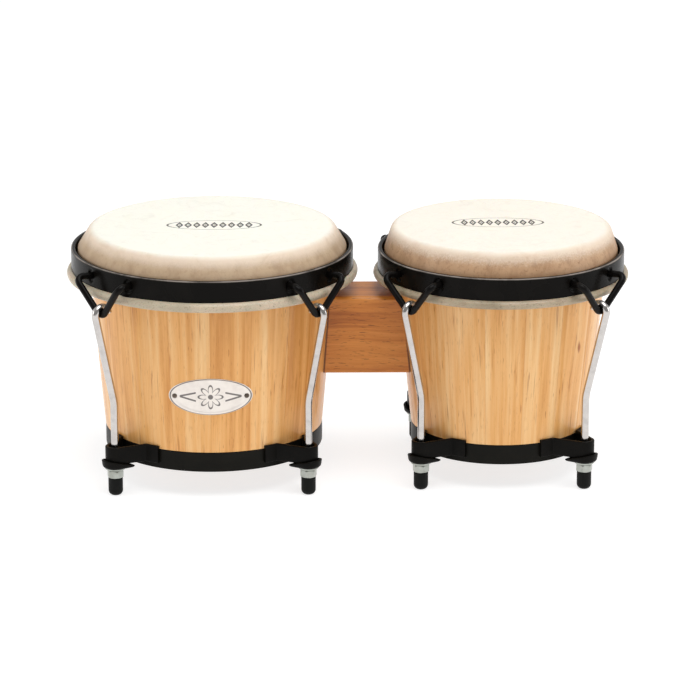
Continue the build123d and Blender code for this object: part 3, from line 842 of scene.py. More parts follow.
# ------------------------------------------------------------------ geometry node helper
class NodeWork(NodeGraph):
    """A Geometry Nodes tree under construction, with named inputs."""

    def __init__(self, name: str, inputs: dict[str, tuple[str, object]]) -> None:
        """Start a tree.

        Args:
            name: the tree's name.
            inputs: the kind of each named input, such as Float or Material, and its default.
        """
        super().__init__(bpy.data.node_groups.new(name, "GeometryNodeTree"))
        sockets = self.tree.interface
        sockets.new_socket("Geometry", in_out="INPUT", socket_type="NodeSocketGeometry")
        sockets.new_socket("Geometry", in_out="OUTPUT", socket_type="NodeSocketGeometry")
        self.start = self.node("NodeGroupInput")
        self.end = self.node("NodeGroupOutput")
        for label, (kind, default) in inputs.items():
            socket = sockets.new_socket(label, in_out="INPUT", socket_type=f"NodeSocket{kind}")
            if default is not None:
                socket.default_value = default

    def given(self, name: str) -> Socket:
        """The socket that carries a named input."""
        return self.start.outputs[name]

    def bent_path(self) -> Socket:
        """The base mesh's line as a curve, rounded by the radius stored at each corner."""
        curve = self.node("GeometryNodeMeshToCurve", {"Mesh": self.given("Geometry")}).outputs[0]
        bend = self.node("GeometryNodeInputNamedAttribute", {"Name": "bend"}, data_type="FLOAT")
        return self.node("GeometryNodeFilletCurve", {
            "Curve": curve, "Count": self.given("Bend steps"), "Radius": bend.outputs["Attribute"]},
            mode="POLY").outputs[0]

    def circle(self, sides: object, radius: object) -> Socket:
        """A round profile."""
        return self.node("GeometryNodeCurvePrimitiveCircle", {
            "Resolution": sides, "Radius": radius}).outputs[0]

    def swept(self, curve: object, profile: object) -> Socket:
        """A profile drawn along a curve, with closed ends."""
        return self.node("GeometryNodeCurveToMesh", {
            "Curve": curve, "Profile Curve": profile, "Fill Caps": True}).outputs[0]

    def round_bar(self) -> Socket:
        """The bar along the base mesh's line."""
        return self.swept(self.bent_path(), self.circle(self.given("Bar sides"), self.given("Bar radius")))

    def close(self, geometry: Socket, materials: Sequence[tuple[str, str | None]]) -> None:
        """End the tree: realize the instances, then set materials.

        Args:
            geometry: what the tree made.
            materials: input name of each material, and the stored true-or-false that selects its faces.
        """
        flow = self.node("GeometryNodeRealizeInstances", {"Geometry": geometry}).outputs[0]
        flow = self.node("GeometryNodeSetShadeSmooth", {"Geometry": flow}).outputs[0]
        for material, where in materials:
            inputs = {"Geometry": flow, "Material": self.given(material)}
            if where:
                pick = self.node("GeometryNodeInputNamedAttribute", {"Name": where}, data_type="BOOLEAN")
                inputs["Selection"] = pick.outputs["Attribute"]
            flow = self.node("GeometryNodeSetMaterial", inputs).outputs[0]
        self.tree.links.new(flow, self.end.inputs[0])

    def run(self, name: str, base: Mesh, values: dict[str, object]) -> Piece:
        """Evaluate the tree on a base mesh and keep the result as a plain mesh.

        Args:
            name: the piece's name.
            base: the mesh that the modifier stands on.
            values: the tree's inputs by name.

        Returns:
            The finished object, with no modifier left.
        """
        piece = new_object(name, base)
        modifier = piece.modifiers.new("nodes", "NODES")
        modifier.node_group = self.tree
        for item in self.tree.interface.items_tree:
            if item.in_out == "INPUT" and item.name in values:
                modifier[item.identifier] = values[item.name]
        keep_modified(piece)
        piece.data.name = name
        return piece


def path_mesh(name: str, points: Sequence[Vector], bends: Sequence[float]) -> Mesh:
    """A line of edges that stores the bend radius wanted at each point."""
    mesh = bpy.data.meshes.new(name)
    mesh.from_pydata([tuple(p) for p in points], [(i, i + 1) for i in range(len(points) - 1)], [])
    mesh.attributes.new("bend", "FLOAT", "POINT").data.foreach_set("value", list(bends))
    return mesh


def bent_bar_tree() -> NodeWork:
    """A round bar along a path, with rounded bends and closed ends."""
    work = NodeWork("bent_bar", {
        "Bar radius": ("Float", 2 * MM), "Bar sides": ("Int", 24), "Bend steps": ("Int", 10),
        "Finish": ("Material", None)})
    work.close(work.round_bar(), [("Finish", None)])
    return work


def threaded_rod_tree() -> NodeWork:
    """A bent bar with a rolled thread wound round its foot."""
    work = NodeWork("threaded_rod", {
        "Bar radius": ("Float", 2.6 * MM), "Bar sides": ("Int", 24), "Bend steps": ("Int", 10),
        "Thread root": ("Float", 2.5 * MM), "Thread crest": ("Float", 2.98 * MM), "Pitch": ("Float", 1 * MM),
        "Thread foot": ("Vector", None), "Thread length": ("Float", 30 * MM), "Finish": ("Material", None)})
    bar = work.round_bar()
    crest, length = work.given("Thread crest"), work.given("Thread length")
    middle = work.times(work.sum(work.given("Thread root"), crest), 0.5)
    helix = work.node("GeometryNodeCurveSpiral", {
        "Resolution": 20, "Rotations": work.math("DIVIDE", length, work.given("Pitch")),
        "Start Radius": middle, "End Radius": middle, "Height": length}).outputs[0]
    ridge = work.swept(helix, work.circle(6, work.less(crest, middle)))
    placed = work.node("GeometryNodeTransform", {"Geometry": ridge, "Translation": work.given("Thread foot")})
    both = work.node("GeometryNodeJoinGeometry")
    work.tree.links.new(placed.outputs[0], both.inputs[0])
    work.tree.links.new(bar, both.inputs[0])
    work.close(both.outputs[0], [("Finish", None)])
    return work


def strap_tree() -> NodeWork:
    """A flat strap on edge, along a path in plan, with rounded edges."""
    work = NodeWork("edge_strap", {
        "Thickness": ("Float", 2 * MM), "Height": ("Float", 12 * MM), "Edge round": ("Float", 0.5 * MM),
        "Bend steps": ("Int", 8), "Finish": ("Material", None)})
    upright = work.node("GeometryNodeSetCurveNormal", {"Curve": work.bent_path()}, mode="Z_UP").outputs[0]
    flat = work.node("GeometryNodeCurvePrimitiveQuadrilateral", {
        "Width": work.given("Thickness"), "Height": work.given("Height")})
    profile = work.node("GeometryNodeFilletCurve", {
        "Curve": flat.outputs[0], "Count": 4, "Radius": work.given("Edge round")}, mode="POLY").outputs[0]
    work.close(work.swept(upright, profile), [("Finish", None)])
    return work


def ring_of_staves_tree() -> NodeWork:
    """Staves set side by side once round an axis, each with its own tone and figure."""
    work = NodeWork("ring_of_staves", {
        "Stave": ("Object", None), "Screwed stave": ("Object", None), "Staves": ("Int", 18),
        "Axis": ("Vector", None), "First turn": ("Float", 0.0), "Seed": ("Int", 1),
        "Outside": ("Material", None), "Inside": ("Material", None)})
    spots = work.node("GeometryNodeMeshLine", {
        "Count": work.given("Staves"), "Start Location": work.given("Axis"), "Offset": (0.0, 0.0, 0.0)})
    index = work.node("GeometryNodeInputIndex").outputs[0]
    step = work.math("DIVIDE", 2 * math.pi, work.given("Staves"))
    euler = work.node("ShaderNodeCombineXYZ", {
        "Z": work.sum(work.times(index, step), work.given("First turn"))})
    rotation = work.node("FunctionNodeEulerToRotation", {0: euler.outputs[0]})
    both = work.node("GeometryNodeJoinGeometry")
    for name, operation in (("Stave", "GREATER_THAN"), ("Screwed stave", "LESS_THAN")):
        chosen = work.math(operation, index, 0.5)
        source = work.node("GeometryNodeObjectInfo", {"Object": work.given(name)})
        placed = work.node("GeometryNodeInstanceOnPoints", {
            "Points": spots.outputs[0], "Selection": chosen,
            "Instance": source.outputs["Geometry"], "Rotation": rotation.outputs[0]})
        work.tree.links.new(placed.outputs[0], both.inputs[0])
    flow = both.outputs[0]
    for offset, stored in enumerate(("stave_tone", "stave_shift")):
        seed = work.sum(work.given("Seed"), float(offset))
        chance = work.node("FunctionNodeRandomValue", {"Seed": seed}, data_type="FLOAT")
        flow = work.node("GeometryNodeStoreNamedAttribute", {
            "Geometry": flow, "Name": stored, "Value": chance.outputs[1]},
            data_type="FLOAT", domain="INSTANCE").outputs[0]
    work.close(flow, [("Outside", None), ("Inside", "bare_wood")])
    return work


# ------------------------------------------------------------------ drum pieces
@dataclass
class StaveShell:
    """A drum's wooden shell: tapered staves glued side by side, screwed to the block."""

    drum: DrumPlace
    staves: int
    seed: int
    outside: Material
    inside: Material
    wall: float = 9.5 * MM
    foot_z: float = 21.0 * MM
    ring_t: float = 2.2 * MM
    inner_round: float = 1.5 * MM
    groove: float = 0.05 * MM
    groove_w: float = 0.18 * MM
    spotface_r: float = 8.6 * MM
    spotface_depth: float = 1.3 * MM
    bore_r: float = 3.02 * MM
    cut_back: float = 6 * MM
    bore_deep: float = 20 * MM
    screw_levels: tuple[float, float] = (85.5 * MM, 114.5 * MM)
    levels: int = 22
    round_steps: int = 6

    def build(self, tree: NodeWork) -> Piece:
        """Make the staves, bore the one at the block, and set them round the axis."""
        plain = self._stave("stave_pattern")
        screwed = self._screwed_stave()
        base = bpy.data.meshes.new("stave_base")
        piece = tree.run(f"{self.drum.name}_staves", base, {
            "Stave": plain, "Screwed stave": screwed, "Staves": self.staves,
            "Axis": (self.drum.axis_x, 0.0, 0.0),
            "First turn": 0.0 if self.drum.block_side is Side.RIGHT else math.pi,
            "Seed": self.seed, "Outside": self.outside, "Inside": self.inside})
        for helper in (plain, screwed):
            bpy.data.objects.remove(helper)
        piece.data.set_sharp_from_angle(angle=math.radians(40))
        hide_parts(f"{self.drum.name}_shell")
        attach(piece, FRAME_BODY)
        return piece

    def _wall_pairs(self) -> list[tuple[float, float, float, float]]:
        """Outer radius and height, and inner radius and height, from the foot to the edge."""
        d = self.drum
        inner_foot = d.ring_r - self.wall
        tuck = d.ring_r - self.ring_t
        pairs = [
            (tuck, self.foot_z, inner_foot, self.foot_z),
            (tuck, d.ring_high, inner_foot, d.ring_high - MM),
            (d.ring_r, d.ring_high, inner_foot, d.ring_high),
        ]
        round_z = d.edge_z - EDGE_ROUND
        for k in range(1, self.levels + 1):
            z = d.ring_high + (round_z - d.ring_high) * k / self.levels
            inner_z = d.ring_high + (d.edge_z - self.inner_round - d.ring_high) * k / self.levels
            pairs.append((d.shell_radius(z), z, d.shell_radius(inner_z) - self.wall, inner_z))
        outer_c = d.shell_radius(round_z) - EDGE_ROUND
        inner_c = d.shell_radius(d.edge_z) - self.wall + self.inner_round
        for k in range(1, self.round_steps + 1):
            a = math.pi / 2 * k / self.round_steps
            pairs.append((
                outer_c + EDGE_ROUND * math.cos(a), round_z + EDGE_ROUND * math.sin(a),
                inner_c - self.inner_round * math.cos(a),
                d.edge_z - self.inner_round + self.inner_round * math.sin(a)))
        return pairs

    def _stave(self, name: str) -> Piece:
        """One stave as a closed block on the +X side, with eased long edges."""
        half = math.pi / self.staves
        mid_r = (self.drum.ring_r + self.drum.shell_top_r) / 2
        ease = self.groove_w / mid_r
        inner_turns = np.linspace(-half + ease, half - ease, 11)
        turns = np.concatenate([[-half], inner_turns, [half]])
        pairs = self._wall_pairs()
        verts, uvs, joint = [], [], []
        for i, t in enumerate(turns):
            at_edge = i in (0, len(turns) - 1)
            ease_r = self.groove if at_edge else 0.0
            for ro, zo, ri, zi in pairs:
                for r, z in ((ro - ease_r, zo), (ri + ease_r, zi)):
                    verts.append((r * math.cos(t), r * math.sin(t), z))
                    uvs.append((t * mid_r, z))
                    joint.append(1.0 if at_edge else 0.0)
        rows = len(pairs)

        faces, bare = [], []

        def face(flip: bool, is_bare: bool, *corners: tuple[int, int, int]) -> None:
            """Add a face by the column, row and side of its corners, the other way round on demand."""
            quad = [(column * rows + row) * 2 + inner for column, row, inner in corners]
            faces.append(tuple(reversed(quad)) if flip else tuple(quad))
            bare.append(is_bare)

        for c in range(len(turns) - 1):
            for r in range(rows - 1):
                face(False, False, (c, r, 0), (c + 1, r, 0), (c + 1, r + 1, 0), (c, r + 1, 0))
                face(False, True, (c, r, 1), (c, r + 1, 1), (c + 1, r + 1, 1), (c + 1, r, 1))
            for r, flip in ((0, True), (rows - 1, False)):
                face(flip, True, (c, r, 0), (c + 1, r, 0), (c + 1, r, 1), (c, r, 1))
        for c, flip in ((0, False), (len(turns) - 1, True)):
            for r in range(rows - 1):
                face(flip, True, (c, r, 0), (c, r + 1, 0), (c, r + 1, 1), (c, r, 1))
        mesh = bpy.data.meshes.new(name)
        mesh.from_pydata(verts, [], faces)
        map_vertices(mesh, uvs)
        mesh.attributes.new("stave_joint", "FLOAT", "POINT").data.foreach_set("value", joint)
        mesh.attributes.new("bare_wood", "BOOLEAN", "FACE").data.foreach_set("value", bare)
        return new_object(name, mesh)

    def _screwed_stave(self) -> Piece:
        """The stave at the block, bored and spot-faced for its two screws."""
        stave = self._stave("screwed_stave_pattern")
        d = self.drum
        cutters = []
        for z in self.screw_levels:
            seat = d.shell_radius(z) - self.wall + self.spotface_depth
            near = seat - self.cut_back
            for radius, far in ((self.spotface_r, seat), (self.bore_r, seat + self.bore_deep)):
                bore = bmesh.new()
                bmesh.ops.create_cone(
                    bore, cap_ends=True, segments=48, radius1=radius, radius2=radius, depth=far - near)
                bmesh.ops.rotate(bore, verts=bore.verts, matrix=Matrix.Rotation(math.pi / 2, 3, "Y"))
                bmesh.ops.translate(bore, verts=bore.verts, vec=((near + far) / 2, 0, z))
                mesh = bpy.data.meshes.new("bore")
                bore.to_mesh(mesh)
                bore.free()
                cutters.append(new_object("bore", mesh))
        for cutter in cutters:
            cut = stave.modifiers.new("bore", "BOOLEAN")
            cut.operation, cut.solver, cut.object = "DIFFERENCE", "EXACT", cutter
        keep_modified(stave)
        for cutter in cutters:
            bpy.data.objects.remove(cutter)
        return stave


@dataclass
class DrumHead:
    """A rawhide head: one skin over the bearing edge and down to the flesh hoop."""

    drum: DrumPlace
    hide: Material
    seed: float
    thick: float = 1.1 * MM
    mouth_drop: float = 0.6 * MM
    mouth_gap: float = 1.4 * MM
    mouth_bend: float = 3.5 * MM
    longest: float = 2.5 * MM
    sag: float = 0.8
    roll_half_w: float = 3.7 * MM
    columns: int = 256
    flat_steps: int = 24
    bend_steps: int = 12

    def build(self) -> Piece:
        """Turn the skin and give it the slight unevenness of real hide, in place of the frame's head and
        skirt.
        """
        outline = self.outline()
        turns = even_turns(self.columns)
        radius, height = same_outline(outline, self.columns)
        radius = self._uneven(turns, radius, height)
        piece = turned_mesh(f"{self.drum.name}_hide_head", turns, radius, height, self.drum.axis_x)
        piece.data.materials.append(self.hide)
        names = (f"{self.drum.name}_head", f"{self.drum.name}_head_skirt")
        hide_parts(*names)
        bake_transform(piece)
        return piece

    @property
    def foot_z(self) -> float:
        """Height at which the skin turns under the hoop."""
        return (self.drum.roll_low + self.drum.roll_high) / 2

    @property
    def skirt_top(self) -> float:
        """Height at which the skin leaves the bearing edge."""
        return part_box(f"{self.drum.name}_head")[0].z

    def outline(self) -> np.ndarray:
        """The skin's section: out along the top, down to the foot, and back inside."""
        d = self.drum
        centre_r = d.shell_top_r - EDGE_ROUND
        centre_z = d.edge_z - EDGE_ROUND
        mouth = (d.rim_r - RIM_WALL - self.mouth_gap, d.rim_high - self.mouth_drop)
        reach = math.hypot(mouth[0] - centre_r, mouth[1] - centre_z)
        slope = math.atan2(mouth[1] - centre_z, mouth[0] - centre_r)
        leave = slope + math.acos((EDGE_ROUND + self.thick) / reach)
        foot = (d.roll_out_r - 2 * self.roll_half_w, self.foot_z)
        flat = centre_r * np.arange(self.flat_steps) / self.flat_steps
        bend = np.linspace(math.pi / 2, leave, self.bend_steps + 1)
        outer, inner = (
            np.concatenate([
                np.stack([flat, np.full_like(flat, top)], 1),
                np.stack([centre_r + r * np.cos(bend), centre_z + r * np.sin(bend)], 1)])
            for top, r in ((d.head_z, EDGE_ROUND + self.thick), (d.head_z - self.thick, EDGE_ROUND)))
        side_out = rounded([(*outer[-1], 0), (*mouth, self.mouth_bend), (*foot, 0)], 6, loop=False)
        side_in = side_out - np.array([self.thick, 0.0])
        side_in[0] = inner[-1]
        side_out, side_in = (refined(side[1:], self.longest, False) for side in (side_out, side_in))
        top_run = np.linspace(outer[-1], side_out[0], 6)[1:-1]
        top_run_in = np.linspace(inner[-1], side_in[0], 6)[1:-1]
        out = np.concatenate([outer, top_run, side_out])
        back = np.concatenate([inner, top_run_in, side_in])[::-1]
        return np.concatenate([out, back])

    def _uneven(self, turns: np.ndarray, radius: np.ndarray, height: np.ndarray) -> np.ndarray:
        """The radius, with the side of the skin let in by a few tenths of a millimetre here and there."""
        d = self.drum
        sway = ripple(turns, self.seed, [(5, 0.5 * MM), (14, 0.25 * MM)])
        share = np.clip((self.skirt_top - height) / (self.skirt_top - d.rim_high), 0, 1)
        low = np.clip((height - self.foot_z) / (d.rim_high - self.foot_z), 0, 1)
        return radius - np.abs(sway)[:, None] * share * low * self.sag


@dataclass
class HideRoll:
    """The roll of hide lapped round the flesh hoop, under the rim."""

    drum: DrumPlace
    hide: Material
    seed: float
    columns: int = 360
    points: int = 36
    bite: float = 0.5 * MM
    swell: float = 0.22
    lap_depth: float = 0.07
    lap_turn: float = 2.2
    lap_w: float = 0.16
    inset: float = 0.02
    rim_gap: float = 0.02 * MM
    rim_margin: float = 0.1 * MM

    def build(self) -> Piece:
        """Turn an uneven lapped section round the axis."""
        d = self.drum
        turns = even_turns(self.columns)
        half_w = d.roll_out_r - (d.rim_r - self.bite)
        half_h = (d.roll_high - d.roll_low) / 2
        centre_r, centre_z = d.roll_out_r - half_w, (d.roll_high + d.roll_low) / 2
        around = np.linspace(0, 2 * math.pi, self.points, endpoint=False)
        thick = ripple(turns, self.seed, [(7, 0.30), (19, 0.22), (45, 0.12)])
        tilt = ripple(turns, self.seed + 5, [(9, 0.6)])
        radius = np.zeros((self.columns, self.points))
        height = np.zeros_like(radius)
        for i in range(self.columns):
            off = np.angle(np.exp(1j * (around + self.lap_turn + tilt[i])))
            lap = self.lap_depth * np.exp(-(off / self.lap_w) ** 2)
            size = 1 - self.swell * abs(thick[i]) - lap
            radius[i] = centre_r + half_w * np.cos(around) * (size - self.inset)
            height[i] = centre_z + half_h * np.sin(around) * size
        under = (radius > d.rim_r - RIM_WALL - self.rim_margin) & (radius < d.rim_r + self.rim_margin)
        height = np.where(under, np.minimum(height, d.rim_low - self.rim_gap), height)
        piece = turned_mesh(f"{d.name}_hide_roll", turns, radius, height, d.axis_x)
        piece.data.materials.append(self.hide)
        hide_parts(f"{d.name}_skin_roll")
        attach(piece, d.tuning_body)
        return piece


@dataclass
class TuningRim:
    """The tall black rim, dimpled where the ends of the lug loops enter it."""

    drum: DrumPlace
    paint: Material
    loop_half: float
    hole_z: float
    top_round: float = 1.1 * MM
    foot_round: float = 0.4 * MM
    dimple_w: float = 3.6 * MM
    dimple_h: float = 4.6 * MM
    dimple_depth: float = 1.3 * MM
    longest: float = 0.6 * MM
    dimple_edge: float = 1.12
    dimple_fade: float = 0.28
    # where on the top edge's rounding the painted highlight lies, how far it spreads and how strong it is
    rub_mid_deg: float = 50.0
    rub_half_deg: float = 28.0
    rub_full: float = 1.3
    near: float = 7 * MM
    near_steps: int = 16

    def build(self) -> Piece:
        """Turn the rim's section with closer columns at the dimples, and press them in."""
        d = self.drum
        section = rounded([
            (d.rim_r - RIM_WALL, d.rim_low, self.foot_round), (d.rim_r, d.rim_low, self.foot_round),
            (d.rim_r, d.rim_high, self.top_round), (d.rim_r - RIM_WALL, d.rim_high, self.top_round)])
        outline = refined(section, self.longest)
        turns = self._turns()
        radius, height = same_outline(outline, len(turns))
        outer = outline[:, 0] > d.rim_r - 0.3 * MM
        for angle in self._entries():
            off = np.angle(np.exp(1j * (turns - angle))) * d.rim_r
            reach = np.hypot(off[:, None] / self.dimple_w, (height - self.hole_z) / self.dimple_h)
            press = np.clip((self.dimple_edge - reach) / self.dimple_fade, 0, 1)
            press = press * press * (3 - 2 * press)
            radius -= np.where(outer[None, :], press * self.dimple_depth, 0)
        piece = turned_mesh(f"{d.name}_tuning_rim", turns, radius, height, d.axis_x)
        piece.data.materials.append(self.paint)
        # painted highlight along the crest of the top outer edge
        self._rub_edge(piece.data)
        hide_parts(f"{d.name}_rim")
        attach(piece, d.tuning_body)
        return piece

    def _rub_edge(self, mesh: Mesh) -> None:
        """Mark the crest of the rim's rounded top outer edge, where a painted highlight goes."""
        places = np.zeros(3 * len(mesh.vertices))
        mesh.vertices.foreach_get("co", places)
        x, y, z = places.reshape(-1, 3).T
        out = np.hypot(x - self.drum.axis_x, y) - (self.drum.rim_r - self.top_round)
        up = z - (self.drum.rim_high - self.top_round)
        turn = np.arctan2(up, out)
        crest = (np.hypot(out, up) > 0.8 * self.top_round) & (out > 0) & (up > 0)
        off = np.abs(turn - math.radians(self.rub_mid_deg)) / math.radians(self.rub_half_deg)
        mark = np.where(crest, np.clip(self.rub_full - off, 0, 1), 0)
        mesh.attributes.new(PAINTED_EDGE_HIGHLIGHT, "FLOAT", "POINT").data.foreach_set("value", mark)

    def _entries(self) -> list[float]:
        """The angles of the eight places where a loop enters the rim."""
        half = math.asin(self.loop_half / self.drum.rim_r)
        return [math.radians(lug.value) + side * half for lug in Lug for side in (-1, 1)]

    def _turns(self) -> np.ndarray:
        """Angles once round, close together near each entry."""
        even = even_turns(256)
        near, steps = self.near / self.drum.rim_r, self.near_steps
        fine = [a + k / steps * near for a in self._entries() for k in range(-steps, steps + 1)]
        kept = [t for t in even if all(
            abs((t - a + math.pi) % (2 * math.pi) - math.pi) > near + 0.004 for a in self._entries())]
        start = even[0]
        return np.array(sorted((t - start) % (2 * math.pi) for t in [*kept, *fine])) + start


@dataclass
class LugLoops:
    """The four V-shaped bars that hang from a rim."""

    drum: DrumPlace
    paint: Material
    drop: float
    bar_r: float = 2.35 * MM
    standoff: float = 9.5 * MM
    hole_half: float = 18.5 * MM
    knee_half: float = 22.0 * MM
    hole_drop: float = 7.6 * MM
    knee_rise: float = 1.2 * MM
    bend_r: float = 5.5 * MM
    knee_bend: float = 4.2 * MM
    lean: float = 3.8 * MM
    end_cover: float = 0.8 * MM

    @property
    def hole_z(self) -> float:
        """Height at which the bars enter the rim."""
        return self.drum.rim_high - self.hole_drop

    @property
    def knee_r(self) -> float:
        """How far out the bars turn down."""
        return self.drum.rim_r + self.standoff

    @property
    def low_z(self) -> float:
        """Height of the path's lowest corner."""
        return self.drum.rim_high - self.drop

    def point(self) -> tuple[float, float]:
        """Distance out and height of the bar's middle at the rounded point of the V."""
        rise = self.hole_z + self.knee_rise - self.low_z
        slant = math.hypot(rise, self.lean)
        lift = self.bend_r * (1 / math.cos(math.atan2(slant, self.knee_half)) - 1)
        return self.knee_r - self.lean + lift * self.lean / slant, self.low_z + lift * rise / slant

    def build(self, tree: NodeWork) -> list[Piece]:
        """Bend one bar at each lug station."""
        inner = self.drum.rim_r - RIM_WALL + self.end_cover
        start_r = math.sqrt(inner ** 2 - (self.hole_half - self.bar_r) ** 2)
        knee_z = self.hole_z + self.knee_rise
        half = [(start_r, self.hole_half, self.hole_z), (self.knee_r, self.knee_half, knee_z)]
        point = (self.knee_r - self.lean, 0, self.low_z)
        path = [*half, point, *((r, -v, z) for r, v, z in reversed(half))]
        bends = [0, self.knee_bend, self.bend_r, self.knee_bend, 0]
        made = []
        for lug in Lug:
            place = self.drum.at_lug(lug)
            name = f"{self.drum.name}_lug_loop_{lug.place}"
            base = path_mesh(name, [place @ Vector(p) for p in path], bends)
            piece = tree.run(f"{name}_bar", base, {
                "Bar radius": self.bar_r, "Bar sides": 28, "Bend steps": 12, "Finish": self.paint})
            piece.data.set_sharp_from_angle(angle=math.radians(BAR_SHARP_DEG))
            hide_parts(name)
            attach(piece, self.drum.tuning_body)
            made.append(piece)
        return made


@dataclass
class TuningRods:
    """The four hooked rods that draw a rim down, threaded at the foot."""

    drum: DrumPlace
    loops: LugLoops
    chrome: Material
    bar_r: float = 2.6 * MM
    half_w: float = 6.5 * MM
    tip_turn_deg: float = 74.0
    tip_spare: float = 1.01
    inner_bend: float = 6.3 * MM
    outer_bend: float = 5.1 * MM
    low_bend: float = 30 * MM
    low_bend_z: float = 66.5 * MM
    seat_gap: float = 0.05 * MM
    thread_crest: float = 2.98 * MM
    thread_root: float = 2.55 * MM
    thread_low: float = 3.4 * MM
    thread_high: float = 30.9 * MM
    foot_z: float = 3.0 * MM
    pitch: float = 1.0 * MM

    def build(self, tree: NodeWork) -> list[Piece]:
        """Bend one rod at each lug station, and wind its thread."""
        over_r, low_z = self.loops.point()
        top = low_z + self.loops.bar_r + self.bar_r + self.seat_gap
        rod_r = self.drum.rod_r
        tip_turn = math.radians(self.tip_turn_deg)
        run = self.inner_bend * math.tan(tip_turn / 2)
        corner_r = over_r - self.half_w + self.inner_bend - run
        run *= self.tip_spare
        path = [
            (corner_r - run * math.cos(tip_turn), 0, top - run * math.sin(tip_turn)), (corner_r, 0, top),
            (over_r + self.half_w, 0, top), (rod_r, 0, self.low_bend_z), (rod_r, 0, self.foot_z)]
        bends = [0, self.inner_bend, self.outer_bend, self.low_bend, 0]
        made = []
        for lug in Lug:
            place = self.drum.at_lug(lug)
            name = f"{self.drum.name}_hook_{lug.place}"
            base = path_mesh(name, [place @ Vector(p) for p in path], bends)
            piece = tree.run(f"{name}_rod", base, {
                "Bar radius": self.bar_r, "Bar sides": 32, "Bend steps": 12,
                "Thread root": self.thread_root, "Thread crest": self.thread_crest, "Pitch": self.pitch,
                "Thread foot": tuple(place @ Vector((rod_r, 0, self.thread_low))),
                "Thread length": self.thread_high - self.thread_low, "Finish": self.chrome})
            piece.data.set_sharp_from_angle(angle=math.radians(BAR_SHARP_DEG))
            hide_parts(name)
            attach(piece, self.drum.tuning_body)
            made.append(piece)
        return made


@dataclass
class RodGuides:
    """The four straps on a bottom ring, each bent out round its rod."""

    drum: DrumPlace
    paint: Material
    thick: float = 2.2 * MM
    inner_r: float = 4.5 * MM
    base_half: float = 13.5 * MM
    flange_end: float = 22 * MM
    corner: float = 2.2 * MM
    edge_round: float = 0.55 * MM
    clear: float = 0.2 * MM
    flange_points: int = 5
    tip_points: int = 17

    def build(self, tree: NodeWork) -> Piece:
        """Bend the four straps and join them as one piece."""
        lo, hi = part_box(f"{self.drum.name}_rod_guides")
        height, mid_z = hi.z - lo.z, (hi.z + lo.z) / 2
        straps = []
        for lug in Lug:
            place = self.drum.at_lug(lug)
            points = [place @ Vector((u, v, mid_z)) for u, v in self._plan()]
            bends = [0.0] * len(points)
            for i in (self.flange_points - 1, len(points) - self.flange_points):
                bends[i] = self.corner
            base = path_mesh("guide", points, bends)
            straps.append(tree.run("guide_strap", base, {
                "Thickness": self.thick, "Height": height, "Edge round": self.edge_round,
                "Bend steps": 6, "Finish": self.paint}))
        piece = join_objects(f"{self.drum.name}_guide_straps", straps)
        piece.data.set_sharp_from_angle(angle=math.radians(45))
        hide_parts(f"{self.drum.name}_rod_guides")
        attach(piece, FRAME_BODY)
        return piece

    def _plan(self) -> list[tuple[float, float]]:
        """The strap's middle line seen from above, on the +X side."""
        ring_mid = self.drum.ring_r + self.thick / 2 + self.clear
        tip_mid = self.inner_r + self.thick / 2
        rod = self.drum.rod_r
        base_mid = self.base_half - self.thick / 2
        end = math.asin(self.flange_end / self.drum.ring_r)
        base = math.asin(base_mid / ring_mid)
        flange = [
            (ring_mid * math.cos(a), ring_mid * math.sin(a))
            for a in np.linspace(end, base, self.flange_points)]
        corner = flange[-1]
        reach = math.hypot(corner[0] - rod, corner[1])
        aim = math.atan2(corner[1], corner[0] - rod)
        touch = aim - math.acos(tip_mid / reach)
        tip = [
            (rod + tip_mid * math.cos(a), tip_mid * math.sin(a))
            for a in np.linspace(touch, -touch, self.tip_points)]
        return flange + tip + [(u, -v) for u, v in reversed(flange)]


@dataclass
class TuningNuts:
    """The four hexagon nuts of a drum, each on its own body."""

    drum: DrumPlace
    zinc: Material
    flat: float = 10 * MM
    hole_r: float = 3.03 * MM
    face_in: float = 0.1 * MM
    slope_deg: float = 30.0
    sink: float = 0.45 * MM
    side_points: int = 8
    sharp_deg: float = 22.0

    def build(self) -> list[Piece]:
        """Make each nut as a chamfered hexagon with a countersunk bore."""
        made = []
        for lug in Lug:
            node = f"{self.drum.name}_nut_{lug.place}"
            lo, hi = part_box(node)
            centre = (lo + hi) / 2
            piece = self._nut(f"{node}_hex", centre, lo.z, hi.z, math.radians(lug.value))
            piece.data.materials.append(self.zinc)
            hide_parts(node)
            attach(piece, f"{node}_body")
            made.append(piece)
        return made

    def _nut(self, name: str, centre: Vector, low: float, high: float, turn: float) -> Piece:
        """One nut, from rings of points that follow the hexagon, the chamfer and the bore."""
        count = self.side_points * 6
        angles = np.arange(count) * 2 * math.pi / count
        inside = np.mod(angles, math.pi / 3) - math.pi / 6
        hexagon = self.flat / 2 / np.cos(inside)
        circle = self.flat / 2 - self.face_in
        drop = np.maximum(hexagon - circle, 0) * math.tan(math.radians(self.slope_deg))
        mouth = self.hole_r + self.sink
        rings = (
            (self.hole_r, low + self.sink), (mouth, low), (circle, low), (hexagon, low + drop),
            (hexagon, high - drop), (circle, high), (mouth, high), (self.hole_r, high - self.sink))
        radius, height = (
            np.stack([np.broadcast_to(ring[part], count) for ring in rings], 1) for part in (0, 1))
        piece = turned_mesh(name, angles + turn, radius, height, 0.0)
        piece.data.transform(Matrix.Translation((centre.x, centre.y, 0)))
        piece.data.set_sharp_from_angle(angle=math.radians(self.sharp_deg))
        return piece


